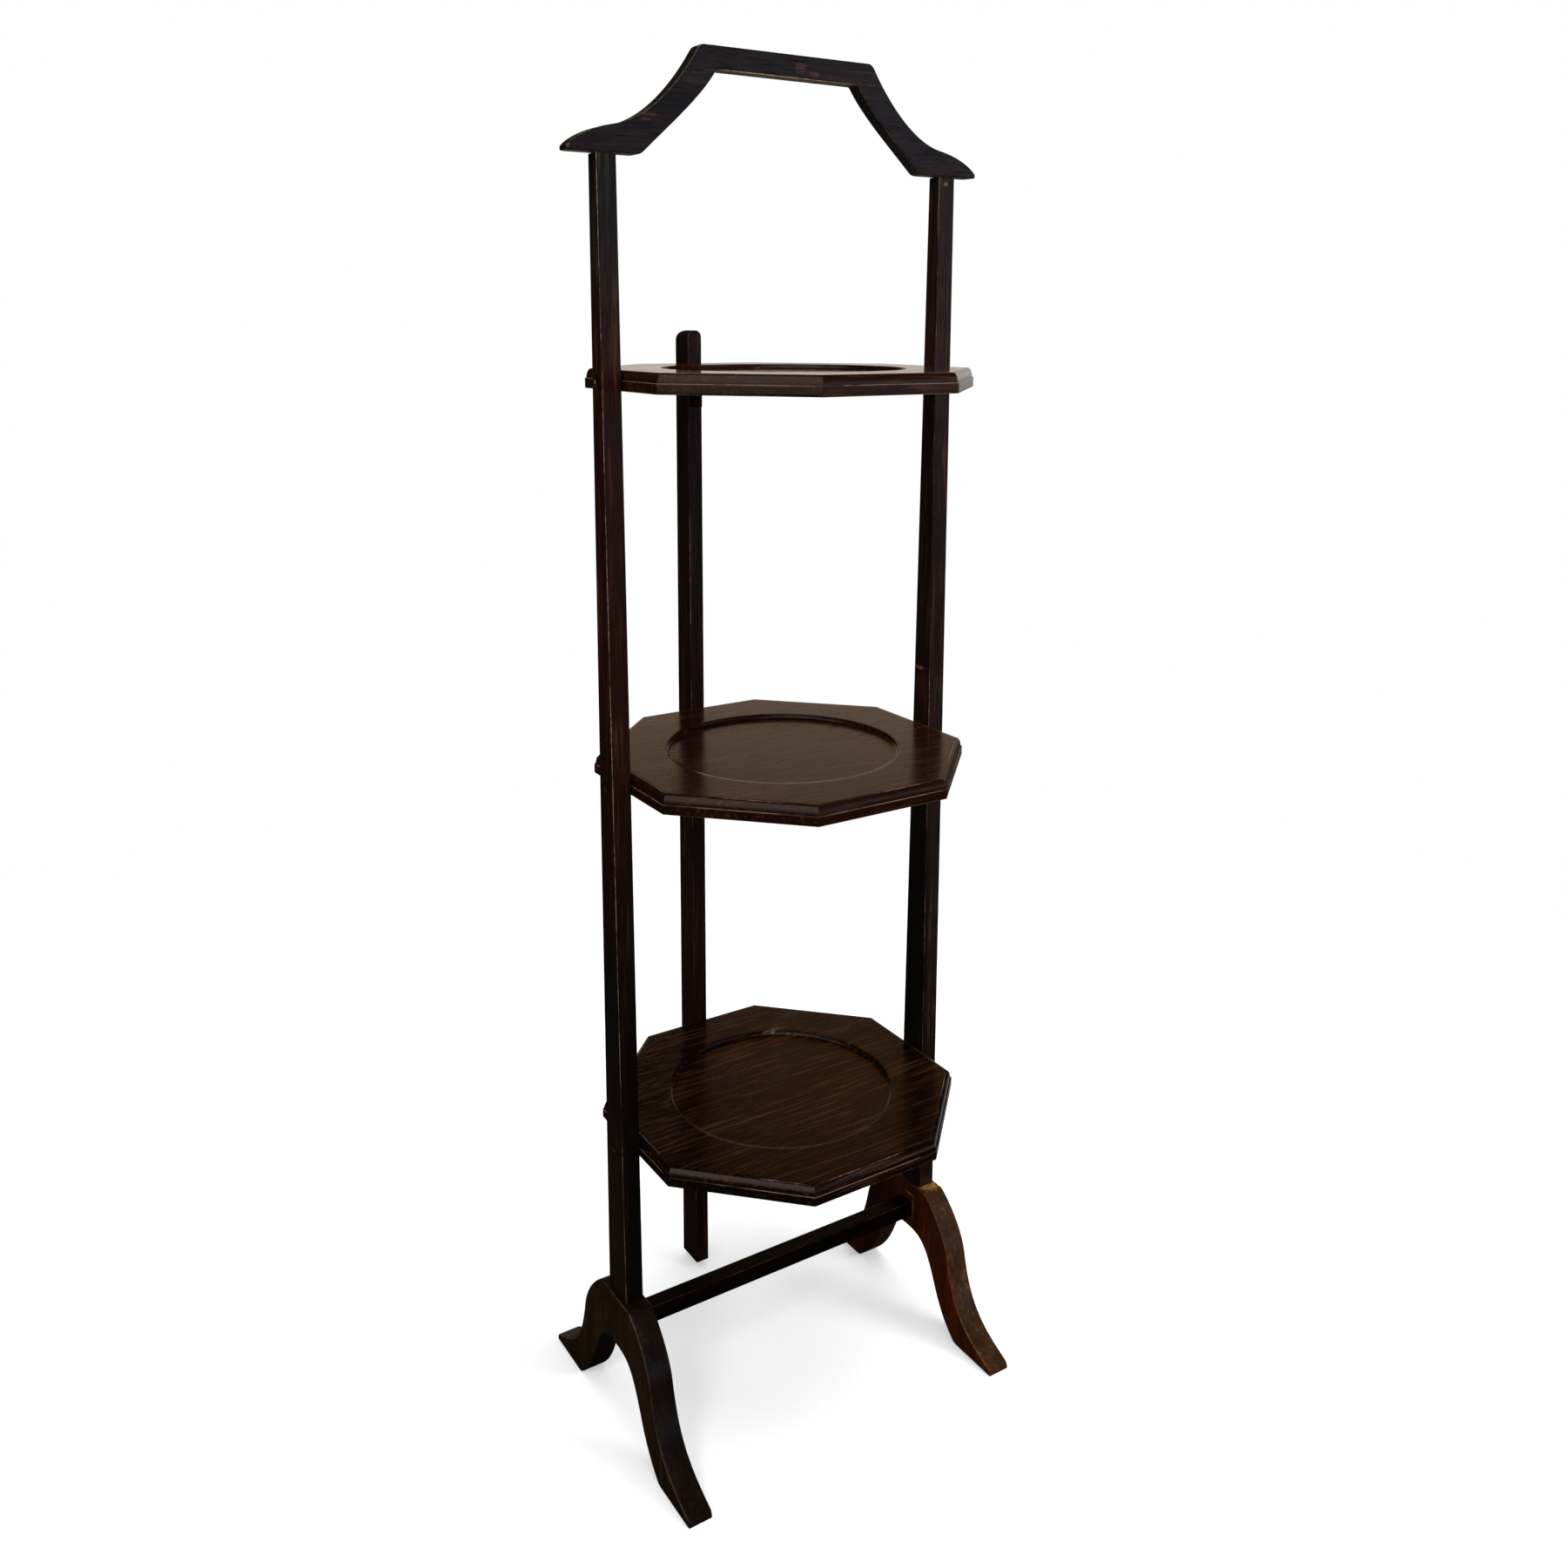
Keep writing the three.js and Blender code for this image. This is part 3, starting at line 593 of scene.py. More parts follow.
def shelf(level, height):
    """Shelf: rings from the middle of the underside, out to the octagon, up the band and
    the quarter-round moulding, in over the face to the seat's rim, down its wall and cove,
    and in to the middle. Octagonal rings turn into round ones across the face."""
    outline = octagon_ring(0)
    bearing = np.arctan2(outline[:, 1], outline[:, 0])
    circle = np.stack([np.cos(bearing), np.sin(bearing)], 1)
    base = height - SHELF_THICKNESS / 2
    rings, away, rub = [], [], []

    def ring(flat, rise, distance, worn=0.0):
        rings.append(np.column_stack([flat, np.full(len(circle), base + rise)]))
        away.append(np.full(len(circle), distance))
        rub.append(np.full(len(circle), worn))

    def octagon(inset, rise, distance, worn=0.0):
        ring(octagon_ring(inset), rise, distance, worn)

    def disc(radius, rise, distance):
        ring(circle * radius, rise, distance)

    def between(share, rise, distance):
        flat = octagon_ring(LEDGE + MOULDING_WIDTH) * (1 - share) + circle * SEAT_RADIUS * share
        ring(flat, rise, distance)

    for radius in UNDERSIDE_RADII:
        disc(radius, 0, BROAD)
    for inset in UNDERSIDE_INSETS:
        octagon(inset, 0, inset)
    for swing in np.linspace(0, math.pi / 2, 4):
        inset = SHELF_ARRIS * (1 - math.sin(swing))
        octagon(inset, SHELF_ARRIS * (1 - math.cos(swing)), 0, UNDER_WEAR)
    for rise, distance in BAND_RINGS:
        octagon(0, rise, distance)
    for swing in np.linspace(0, math.pi / 2, 4):
        inset = BAND_ARRIS * (1 - math.cos(swing))
        octagon(inset, BAND_HEIGHT - BAND_ARRIS * (1 - math.sin(swing)), 0, BAND_WEAR)
    octagon(LEDGE, BAND_HEIGHT - LEDGE_FALL, LEDGE_REACH)
    octagon(LEDGE, BAND_HEIGHT + FILLET, FILLET_REACH)
    moulding_height = SHELF_THICKNESS - BAND_HEIGHT - FILLET
    for swing in np.linspace(0, math.pi / 2, 9)[1:]:
        inset = LEDGE + MOULDING_WIDTH * (1 - math.cos(swing))
        rise = BAND_HEIGHT + FILLET + moulding_height * math.sin(swing)
        octagon(inset, rise, MOULDING_REACH * (1 - math.sin(swing)), MOULDING_WEAR)
    for share, distance in FACE_RINGS:
        between(share, SHELF_THICKNESS, distance)
    for swing in np.linspace(0, math.pi / 2, 4):
        radius = SEAT_RADIUS - SEAT_BEAD * math.sin(swing)
        disc(radius, SHELF_THICKNESS - SEAT_BEAD * (1 - math.cos(swing)), 0)
    wall = SEAT_RADIUS - SEAT_BEAD
    for swing in np.linspace(0, math.pi / 2, 6):
        radius = wall - SEAT_COVE * (1 - math.cos(swing))
        rise = SHELF_THICKNESS - SEAT_DEPTH + SEAT_COVE * (1 - math.sin(swing))
        disc(radius, rise, COVE_REACH + COVE_REACH_GAIN * swing)
    for radius in SEAT_RADII:
        disc(radius, SHELF_THICKNESS - SEAT_DEPTH, BROAD)
    points = np.array(rings) + np.array([0, POST_PLANE, 0])
    faces = grid_faces(len(rings), len(circle))
    return make_mesh(f"{level}_shelf_oak", points, faces, {"arris": away, "rub": rub})


# Screws

ROUND_COLUMNS = 40


def turned(name, profile, twist=None):
    """Surface of revolution about Z: each [radius, height] of the profile swung full circle.
    The twist, if any, is a function of height and bearing that is added to the radius."""
    profile = np.asarray(profile, float)
    bearing = np.arange(ROUND_COLUMNS) * 2 * math.pi / ROUND_COLUMNS
    radius = np.broadcast_to(profile[:, :1], (len(profile), ROUND_COLUMNS)).copy()
    height = np.broadcast_to(profile[:, 1:], radius.shape)
    if twist is not None:
        radius += twist(height, bearing[None, :]) * (radius > 0)
    points = np.stack([radius * np.cos(bearing), radius * np.sin(bearing), height], -1)
    return make_mesh(name, points, grid_faces(len(profile), ROUND_COLUMNS))


def lay_along_x(thing, side, height):
    """Turns a screw from pointing down at the origin to lying in its post, head outwards."""
    mesh = thing.data
    points = np.empty(len(mesh.vertices) * 3)
    mesh.vertices.foreach_get("co", points)
    x, y, z = points.reshape(-1, 3).T
    outwards = POST_OUTER_FACE - PIVOT_SINK + z
    placed = np.column_stack([side * outwards, POST_PLANE + side * y, height + x])
    mesh.vertices.foreach_set("co", placed.ravel())
    mesh.update()
    face_outwards(mesh)
    return thing


def pivot_hole(side, height):
    """Cutter for a pivot screw's countersunk hole through a post."""
    narrow, wide = PIVOT_SHANK_RADIUS + TURNING_GAP, PIVOT_HEAD_RADIUS + TURNING_GAP
    hole = turned("hole", [
        [0, -PIVOT_LENGTH], [narrow, -PIVOT_LENGTH], [narrow, -PIVOT_HEAD_DEPTH],
        [wide, 0], [wide, CUTTER_OVERRUN], [0, CUTTER_OVERRUN],
    ])
    return lay_along_x(hole, side, height)


def pivot_screw(level, side, height):
    """Countersunk slotted wood screw: a cone under a slightly crowned head, a plain shank,
    and a thread whose crest climbs one pitch per turn, fading out at the point."""
    head = np.linspace(0, 1, 7)[1:, None] * CROWN_RADIUS
    crown = np.column_stack([head, -HEAD_CROWN * (head / PIVOT_HEAD_RADIUS) ** 2])
    rim = np.array(SCREW_RIM) * MM + [PIVOT_HEAD_RADIUS, 0]
    neck = [
        [PIVOT_SHANK_RADIUS + NECK_RADIUS_GAIN, -PIVOT_HEAD_DEPTH],
        [PIVOT_SHANK_RADIUS, -PIVOT_HEAD_DEPTH - NECK_LENGTH],
    ]
    plain_end = PIVOT_THREAD - PIVOT_LENGTH
    turns = np.linspace(plain_end, POINT_LENGTH - PIVOT_LENGTH, THREAD_STATIONS)
    taper = np.clip((turns + PIVOT_LENGTH) / PIVOT_POINT, LEAST_TAPER, 1)
    shank = np.column_stack([PIVOT_SHANK_RADIUS * taper, turns])
    profile = np.concatenate([[[0, 0]], crown, rim, neck, shank, [[0, -PIVOT_LENGTH]]])

    def thread(z, bearing):
        phase = z / THREAD_PITCH + bearing / (2 * math.pi)
        tooth = np.abs(2 * (phase - np.floor(phase)) - 1)
        start = np.clip((plain_end - z) / THREAD_FADE, 0, 1)
        end = np.clip((z + PIVOT_LENGTH) / PIVOT_POINT, 0, 1)
        return -THREAD_DEPTH * np.clip(THREAD_CREST * tooth, 0, 1) * start * end

    side_name = "left" if side < 0 else "right"
    screw = turned(f"{level}_{side_name}_pivot_screw_steel", profile, twist=thread)
    across, along = PIVOT_HEAD_RADIUS + CUTTER_OVERRUN, PIVOT_SLOT_WIDTH / 2
    square = np.array([(-across, -along), (across, -along), (across, along), (-across, along)])
    levels = np.repeat([-PIVOT_SLOT_DEPTH, CUTTER_OVERRUN], len(square))
    corners = np.column_stack([np.tile(square, (2, 1)), levels])
    faces = [[0, 3, 2, 1], [4, 5, 6, 7], [0, 1, 5, 4], [1, 2, 6, 5], [2, 3, 7, 6], [3, 0, 4, 7]]
    turn = math.radians(SLOT_TURNS[level, side_name])
    spin = np.array([[math.cos(turn), math.sin(turn), 0], [-math.sin(turn), math.cos(turn), 0], [0, 0, 1]])
    cut(screw, [make_mesh("slot", corners @ spin, faces)])
    return lay_along_x(screw, side, height)


# Materials

def new_group(name, inputs, outputs):
    """An empty node group with named inputs and outputs, each a (socket name, kind, value)."""
    group = bpy.data.node_groups.new(name, "ShaderNodeTree")
    for label, kind, value in inputs:
        socket = group.interface.new_socket(name=label, in_out="INPUT", socket_type=kind)
        if value is not None:
            socket.default_value = value
    for label, kind in outputs:
        group.interface.new_socket(name=label, in_out="OUTPUT", socket_type=kind)
    return group, group.nodes.new("NodeGroupInput"), group.nodes.new("NodeGroupOutput")


class Wiring:
    """Short ways to add and join the nodes of one tree."""

    def __init__(self, tree):
        self.tree = tree

    def node(self, kind, **settings):
        """A new node with the given settings."""
        made = self.tree.nodes.new(kind)
        for key, value in settings.items():
            setattr(made, key, value)
        return made

    def join(self, source, target):
        self.tree.links.new(source, target)

    def feed(self, socket, value):
        """Joins a socket to another one, or sets its value."""
        if isinstance(value, bpy.types.NodeSocket):
            self.join(value, socket)
        else:
            socket.default_value = value

    def maths(self, operation, a, b=0.0, clamp=False):
        """One calculation on two numbers."""
        made = self.node("ShaderNodeMath", operation=operation, use_clamp=clamp)
        self.feed(made.inputs[0], a)
        self.feed(made.inputs[1], b)
        return made.outputs[0]

    def span(self, value, low, high, to_low=0.0, to_high=1.0, smooth=False):
        """A value from low to high stretched onto another range, and held at its ends."""
        made = self.node("ShaderNodeMapRange", interpolation_type="SMOOTHSTEP" if smooth else "LINEAR")
        for socket, item in zip(made.inputs, (value, low, high, to_low, to_high)):
            self.feed(socket, item)
        return made.outputs[0]

    def blend(self, share, first, second, kind="MIX"):
        """Two colours mixed or added by a share."""
        made = self.node("ShaderNodeMix", data_type="RGBA", blend_type=kind)
        self.feed(made.inputs[0], share)
        self.feed(made.inputs[6], first)
        self.feed(made.inputs[7], second)
        return made.outputs[2]

    def noise(self, vector, scale, detail, roughness):
        """Smooth random values about 0.5, with about that many waves per metre."""
        made = self.node("ShaderNodeTexNoise")
        self.feed(made.inputs["Vector"], vector)
        made.inputs["Scale"].default_value = scale
        made.inputs["Detail"].default_value = detail
        made.inputs["Roughness"].default_value = roughness
        return made.outputs[0]

    def vector(self, operation, a, b=None):
        """One calculation on two vectors or colours. The second may be left out."""
        made = self.node("ShaderNodeVectorMath", operation=operation)
        self.feed(made.inputs[0], a)
        if b is not None:
            self.feed(made.inputs[1], b)
        return made.outputs["Value" if operation == "LENGTH" else "Vector"]

    def scaled(self, colour, factor):
        """A colour made lighter or darker by a factor."""
        made = self.node("ShaderNodeVectorMath", operation="SCALE")
        self.feed(made.inputs[0], colour)
        self.feed(made.inputs["Scale"], factor)
        return made.outputs[0]

    def attribute(self, name):
        """A number that the mesh holds for each point."""
        return self.node("ShaderNodeAttribute", attribute_name=name).outputs["Fac"]


GRAIN_WANDER = (5, 16, 16)  # waves per metre, along and across the grain
GRAIN_BROAD = (7, 45, 45)
GRAIN_FINE = (18, 430, 430)
GRAIN_PORES = (60, 1300, 1300)
GRAIN_BEND = (0.0, 0.012, 0.012)  # how far the grain wanders, in metres
PORE_COLOUR = (0.0015, 0.0006, 0.0004, 1)
PORE_DARKENING = 0.75
EDGE_RAGGEDNESS = 300  # waves per metre
EDGE_PATCHES = 22
SPOT_RAGGEDNESS = 700
WEAR_FADE = 0.08 * MM
BARE_ROUGHNESS = 0.2  # what bare edges and open pores add to the varnish's roughness
SHIFT_WAY = np.array([1, 0.7, 1.3])  # the way in which a piece is shifted in the pattern
PAINTED_SHADE_HEIGHTS = (210 * MM, 560 * MM)  # between these the posts get lighter upwards: painted shade, darker towards the floor
TARNISH_SPOTS = 900  # waves per metre
TARNISH_ROUGHNESS = 0.3


def oak_grain_group():
    """Stained open-pored oak along the vector's X: broad tone, streaks, and pores."""
    group, given, result = new_group("oak_grain", [
        ("Vector", "NodeSocketVector", None),
        ("Ground", "NodeSocketColor", (0.012, 0.004, 0.002, 1)),
        ("Streak", "NodeSocketColor", (0.06, 0.025, 0.01, 1)),
        ("Streak Strength", "NodeSocketFloat", 1.0),
    ], [("Color", "NodeSocketColor"), ("Roughness", "NodeSocketFloat"), ("Height", "NodeSocketFloat")])
    w = Wiring(group)
    vector = given.outputs["Vector"]
    wander = w.node("ShaderNodeTexNoise")
    w.join(w.vector("MULTIPLY", vector, GRAIN_WANDER), wander.inputs["Vector"])
    wander.inputs["Scale"].default_value = 1
    offset = w.vector("SUBTRACT", wander.outputs["Color"], (0.5, 0.5, 0.5))
    warped = w.vector("ADD", vector, w.vector("MULTIPLY", offset, GRAIN_BEND))
    broad = w.noise(w.vector("MULTIPLY", warped, GRAIN_BROAD), 1, 3, 0.55)
    fine = w.noise(w.vector("MULTIPLY", warped, GRAIN_FINE), 1, 2, 0.6)
    hair = w.noise(w.vector("MULTIPLY", warped, GRAIN_PORES), 1, 2, 0.5)
    streak = w.maths("MULTIPLY", w.span(fine, 0.53, 0.66), w.span(broad, 0.35, 0.65, 0.15, 1.0))
    streak = w.maths("MULTIPLY", streak, given.outputs["Streak Strength"], clamp=True)
    colour = w.scaled(given.outputs["Ground"], w.span(broad, 0.25, 0.75, 0.4, 1.5))
    colour = w.blend(streak, colour, given.outputs["Streak"])
    pore = w.span(hair, 0.56, 0.68)
    colour = w.blend(w.maths("MULTIPLY", pore, PORE_DARKENING), colour, PORE_COLOUR)
    rough = w.maths("MULTIPLY", pore, BARE_ROUGHNESS)
    rough = w.maths("ADD", rough, w.span(broad, 0.2, 0.8, 0.0, 0.08))
    height = w.maths("SUBTRACT", w.span(fine, 0.35, 0.65), w.maths("MULTIPLY", pore, 0.5))
    w.join(colour, result.inputs["Color"])
    w.join(rough, result.inputs["Roughness"])
    w.join(height, result.inputs["Height"])
    return group


def worn_edge_group():
    """Mask that is 1 where an edge's finish has rubbed off: the distance from the edge set
    against a width that noise makes ragged along it."""
    group, given, result = new_group("worn_edge", [
        ("Vector", "NodeSocketVector", None),
        ("Distance", "NodeSocketFloat", 0.01),
        ("Rub", "NodeSocketFloat", 0.0),
        ("Width", "NodeSocketFloat", 0.001),
        ("Patchiness", "NodeSocketFloat", 0.5),
    ], [("Mask", "NodeSocketFloat")])
    w = Wiring(group)
    ragged = w.noise(given.outputs["Vector"], EDGE_RAGGEDNESS, 4, 0.65)
    patches = w.noise(given.outputs["Vector"], EDGE_PATCHES, 3, 0.6)
    reach = w.maths("MULTIPLY", given.outputs["Width"], w.span(ragged, 0.3, 0.7, 0.3, 1.4))
    low = w.maths("MULTIPLY", given.outputs["Patchiness"], 0.8)
    kept = w.span(patches, w.maths("SUBTRACT", low, 0.1), w.maths("ADD", low, 0.15))
    reach = w.maths("MULTIPLY", reach, w.maths("MULTIPLY", kept, given.outputs["Rub"]))
    mask = w.span(w.maths("SUBTRACT", reach, given.outputs["Distance"]), 0.0, WEAR_FADE)
    w.join(mask, result.inputs["Mask"])
    return group


def spot_group():
    """Mask of one local mark: 1 inside an egg shape with ragged edges, 0 outside."""
    group, given, result = new_group("spot", [
        ("Vector", "NodeSocketVector", None),
        ("Centre", "NodeSocketVector", None),
        ("Reach", "NodeSocketVector", None),
    ], [("Mask", "NodeSocketFloat")])
    w = Wiring(group)
    vector = given.outputs["Vector"]
    away = w.vector("SUBTRACT", vector, given.outputs["Centre"])
    size = w.vector("LENGTH", w.vector("DIVIDE", away, given.outputs["Reach"]))
    ragged = w.span(w.noise(vector, SPOT_RAGGEDNESS, 3, 0.7), 0.3, 0.7, -0.5, 0.5)
    w.join(w.span(w.maths("ADD", size, ragged), 1.0, 0.55), result.inputs["Mask"])
    return group


OAK_GRAIN = oak_grain_group()
WORN_EDGE = worn_edge_group()
SPOT = spot_group()
GRAIN_TURNS = {"X": (0, 0, 0), "Z": (0, math.pi / 2, 0)}  # so that the grain runs along it


def linear(red, green, blue):
    """A colour written in screen values from 0 to 255, as the linear values that Blender takes."""
    share = np.array([red, green, blue]) / 255
    value = np.where(share <= 0.04045, share / 12.92, ((share + 0.055) / 1.055) ** 2.4)
    return (*value.tolist(), 1)


def new_material(name):
    """A new material, its wiring, its Principled shader and the Object coordinates."""
    material = bpy.data.materials.new(name)
    material.use_nodes = True
    w = Wiring(material.node_tree)
    shader = material.node_tree.nodes["Principled BSDF"]
    return material, w, shader, w.node("ShaderNodeTexCoord").outputs["Object"]


def oak(name, axis, ground, streak, strength, roughness=0.28, worn=(150, 116, 96), wear=0.35 * MM,
        patchiness=0.5, shift=0.0, painted_low_shade=1.0, relief=0.03 * MM, gloss=0.5, marks=()):
    """Dark-stained, varnished oak with its grain along one axis and rubbed edges. The shift
    moves each piece to its own part of the pattern, and the low shade is the share of its
    lightness that the wood keeps near the floor: painted shade. Each mark is a (centre, reach,
    gain), and the marks are worn and glued spots and painted light and shade alike. Its places
    are in mm, from the floor midway between the posts. Its gain is how many times lighter the
    wood is there in red, green and blue."""
    material, w, shader, place = new_material(name)
    turn = w.node("ShaderNodeMapping")
    w.join(place, turn.inputs["Vector"])
    turn.inputs["Location"].default_value = shift * SHIFT_WAY
    turn.inputs["Rotation"].default_value = GRAIN_TURNS[axis]
    grain = w.node("ShaderNodeGroup", node_tree=OAK_GRAIN)
    w.join(turn.outputs[0], grain.inputs["Vector"])
    grain.inputs["Ground"].default_value = linear(*ground)
    grain.inputs["Streak"].default_value = linear(*streak)
    grain.inputs["Streak Strength"].default_value = strength
    split = w.node("ShaderNodeSeparateXYZ")
    w.join(place, split.inputs[0])
    # painted shade: the wood darkens towards the floor by the low shade value
    shade = w.span(split.outputs["Z"], *PAINTED_SHADE_HEIGHTS, painted_low_shade, 1.0, smooth=True)
    colour = w.scaled(grain.outputs["Color"], shade)
    for centre, reach, gain in marks:
        spot = w.node("ShaderNodeGroup", node_tree=SPOT)
        w.join(place, spot.inputs["Vector"])
        x, y, z = centre
        spot.inputs["Centre"].default_value = (x * MM, y * MM + POST_PLANE, z * MM)
        spot.inputs["Reach"].default_value = [r * MM for r in reach]
        colour = w.blend(spot.outputs["Mask"], colour, w.vector("MULTIPLY", colour, gain))
    edge = w.node("ShaderNodeGroup", node_tree=WORN_EDGE)
    w.join(place, edge.inputs["Vector"])
    w.join(w.attribute("arris"), edge.inputs["Distance"])
    w.join(w.attribute("rub"), edge.inputs["Rub"])
    edge.inputs["Width"].default_value = wear
    edge.inputs["Patchiness"].default_value = patchiness
    w.join(w.blend(edge.outputs["Mask"], colour, linear(*worn)), shader.inputs["Base Color"])
    rough = w.maths("ADD", grain.outputs["Roughness"], roughness)
    rough = w.maths("ADD", rough, w.maths("MULTIPLY", edge.outputs["Mask"], BARE_ROUGHNESS))
    w.join(rough, shader.inputs["Roughness"])
    shader.inputs["Specular IOR Level"].default_value = gloss
    bump = w.node("ShaderNodeBump")
    bump.inputs["Distance"].default_value = relief
    w.join(grain.outputs["Height"], bump.inputs["Height"])
    w.join(bump.outputs[0], shader.inputs["Normal"])
    return material


def metal(name, base, dark, roughness):
    """Old metal: its colour broken by darker tarnish, rougher where it is dark."""
    material, w, shader, place = new_material(name)
    spots = w.noise(place, TARNISH_SPOTS, 5, 0.6)
    tarnish = w.span(spots, 0.42, 0.62)
    w.join(w.blend(tarnish, linear(*base), linear(*dark)), shader.inputs["Base Color"])
    rough = w.span(spots, 0.35, 0.7, roughness, roughness + TARNISH_ROUGHNESS)
    w.join(rough, shader.inputs["Roughness"])
    shader.inputs["Metallic"].default_value = 1
    return material


SHELF_EDGES = {"worn": (116, 88, 74), "wear": 0.22 * MM, "patchiness": 0.6}
# Each wooden piece has its own stain, streaks, wear and marks, as in the photo. Some of this is painted
# light and shade: stain made darker towards the floor and on some pieces, a painted sheen, and marks of
# painted highlight, light and shade besides wear and a glue line.
WOODS = {
    "left_post": oak(
        "oak_left_post", "Z", (37, 11, 3), (78, 44, 24), 0.9, worn=(190, 154, 134), wear=0.17 * MM,
        # The low shade value darkens this post towards the floor: painted shade. The first mark is painted
        # light on the left face low down, the second a painted cool sheen at the head.
        patchiness=0.55, shift=0.3, painted_low_shade=0.08,
        marks=(((-128, 0, 140), (4, 30, 120), (6, 9, 8)), ((-122, 0, 830), (30, 30, 110), (0.4, 1.5, 3))),
    ),
    "right_post": oak(
        "oak_right_post", "Z", (33, 17, 10), (70, 48, 36), 0.9, worn=(190, 160, 140), wear=0.16 * MM,
        # The low shade value darkens this post a little towards the floor, and the last mark darkens its
        # inner face low down: both painted shade.
        patchiness=0.6, shift=1.1, painted_low_shade=0.75,
        marks=(
            ((115.5, 0, 485), (1.5, 8, 14), (3, 1.6, 1.6)), ((115.5, 3, 498), (1.5, 6, 1.3), (12, 14, 18)),
            ((121, -6, 822), (2, 3, 1.2), (7, 12, 14)), ((115.5, 0, 300), (4, 30, 120), (0.2, 0.2, 0.2)),
        ),
    ),
    "rear_strut": oak(
        "oak_strut", "Z", (27, 9, 4), (60, 34, 20), 0.9, worn=(150, 130, 128), wear=0.15 * MM,
        patchiness=0.6, shift=2.3,
        # The mark is a dark spot on the front below the head: painted shade of a small hole.
        marks=(((-1.5, 114.4, 670), (2.2, 1, 3.2), (0.3, 0.3, 0.3)),),
    ),
    "left_foot": oak(
        # Its stain is darker than the right foot's: partly painted shade. The mark lightens the outer
        # face: painted light on that side.
        "oak_left_foot", "Z", (17, 8, 4), (42, 26, 14), 0.7, worn=(140, 120, 96), wear=0.17 * MM,
        patchiness=0.62, shift=3.1,
        marks=(((-132, 0, 50), (3.5, 200, 90), (4.6, 4.9, 1.4)),),
    ),
    "right_foot": oak(
        "oak_right_foot", "Z", (60, 36, 18), (98, 70, 38), 0.9, worn=(120, 84, 50), wear=0.3 * MM,
        patchiness=0.66, shift=4.7,
        marks=(
            # The second mark lightens the inner face: painted light; the third darkens that face towards
            # the rear. The last two are a pale glue line.
            ((124, -14, 100), (9, 7, 3), (8, 10, 7)), ((112, 0, 50), (3.5, 200, 90), (2.2, 0.9, 0.3)),
            ((112, 62, 60), (5, 76, 110), (0.35, 0.32, 0.5)),
            ((113, -3, 91), (1.5, 7, 0.9), (6, 20, 44)), ((113, -8, 81), (1.5, 0.9, 10), (6, 20, 44)),
        ),
    ),
    "handle": oak(
        # Its grey cast is partly a painted sheen over the dark stain.
        "oak_handle", "X", (23, 18, 19), (54, 42, 34), 0.5, worn=(190, 158, 116), wear=0.55 * MM,
        shift=5.9,
        marks=(
            ((8, -5.2, 883), (5, 2, 3.6), (4.5, 2.8, 2.2)), ((18, -5.2, 880), (4, 2, 2), (4.5, 2.8, 2.2)),
            ((-95, -5.2, 849), (7, 2, 0.8), (6, 4, 3)), ((-97, -5.2, 846), (4, 2, 0.7), (6, 4, 3)),
            ((-146, -5.2, 829), (3, 2, 1.4), (12, 10, 6)),
        ),
    ),
    # Its near-black stain is partly painted shade.
    "stretcher": oak("oak_stretcher", "X", (6, 2, 1), (24, 10, 5), 0.6, shift=6.3, gloss=0.2),
    "lower_shelf": oak(
        "oak_lower_shelf", "X", (12, 3, 1), (62, 38, 22), 0.85, 0.15, **SHELF_EDGES,
        relief=0.05 * MM, gloss=0.6,
        # The first mark lightens the seat: a painted sheen. The other two are painted highlights on the
        # seat's far rim.
        marks=(
            ((0, 0, 211), (400, 400, 1.8), (1.5, 1.3, 1.2)), ((38, 66, 213), (13, 9, 1.3), (6, 12, 20)),
            ((74, 25, 213), (2.5, 5, 1.2), (5, 8, 12)),
        ),
    ),
    "middle_shelf": oak(
        "oak_middle_shelf", "X", (28, 10, 4), (74, 44, 22), 0.7, 0.15, **SHELF_EDGES,
        shift=0.9, relief=0.02 * MM,
    ),
    "top_shelf": oak(
        "oak_top_shelf", "X", (30, 12, 6), (70, 42, 22), 0.8, 0.07, **SHELF_EDGES,
        shift=1.9, relief=0.012 * MM,
    ),
}
aged_steel = metal("aged_steel", (96, 84, 74), (44, 34, 28), 0.4)
aged_brass = metal("aged_brass", (84, 62, 34), (40, 28, 16), 0.45)


# Making and placing every piece

def finish_piece(thing, material, body, node):
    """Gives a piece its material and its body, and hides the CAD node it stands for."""
    thing.data.materials.clear()
    thing.data.materials.append(material)
    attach(thing, body)
    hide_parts(node)


def finish_wood(thing, body, node):
    """The same for a piece of oak, which has a material of its own."""
    finish_piece(thing, WOODS[node], body, node)


for side_name, side in (("left", -1), ("right", 1)):
    finish_wood(post(side), "frame", f"{side_name}_post")
    finish_wood(foot(side), "frame", f"{side_name}_foot")
finish_wood(handle(), "frame", "handle")
finish_wood(stretcher(), "frame", "stretcher")
finish_wood(strut(), "rear_strut", "rear_strut")
for level, height in PIVOT_HEIGHTS.items():
    body = f"{level}_shelf"
    finish_wood(shelf(level, height), body, body)
    for side_name, side in (("left", -1), ("right", 1)):
        screw = pivot_screw(level, side, height)
        finish_piece(screw, aged_steel, body, f"{level}_{side_name}_pivot_screw")
for node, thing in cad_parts.items():
    if "hinge" in node:
        thing.data.materials.clear()
        thing.data.materials.append(aged_brass if "leaf" in node else aged_steel)


# Floor, light and camera

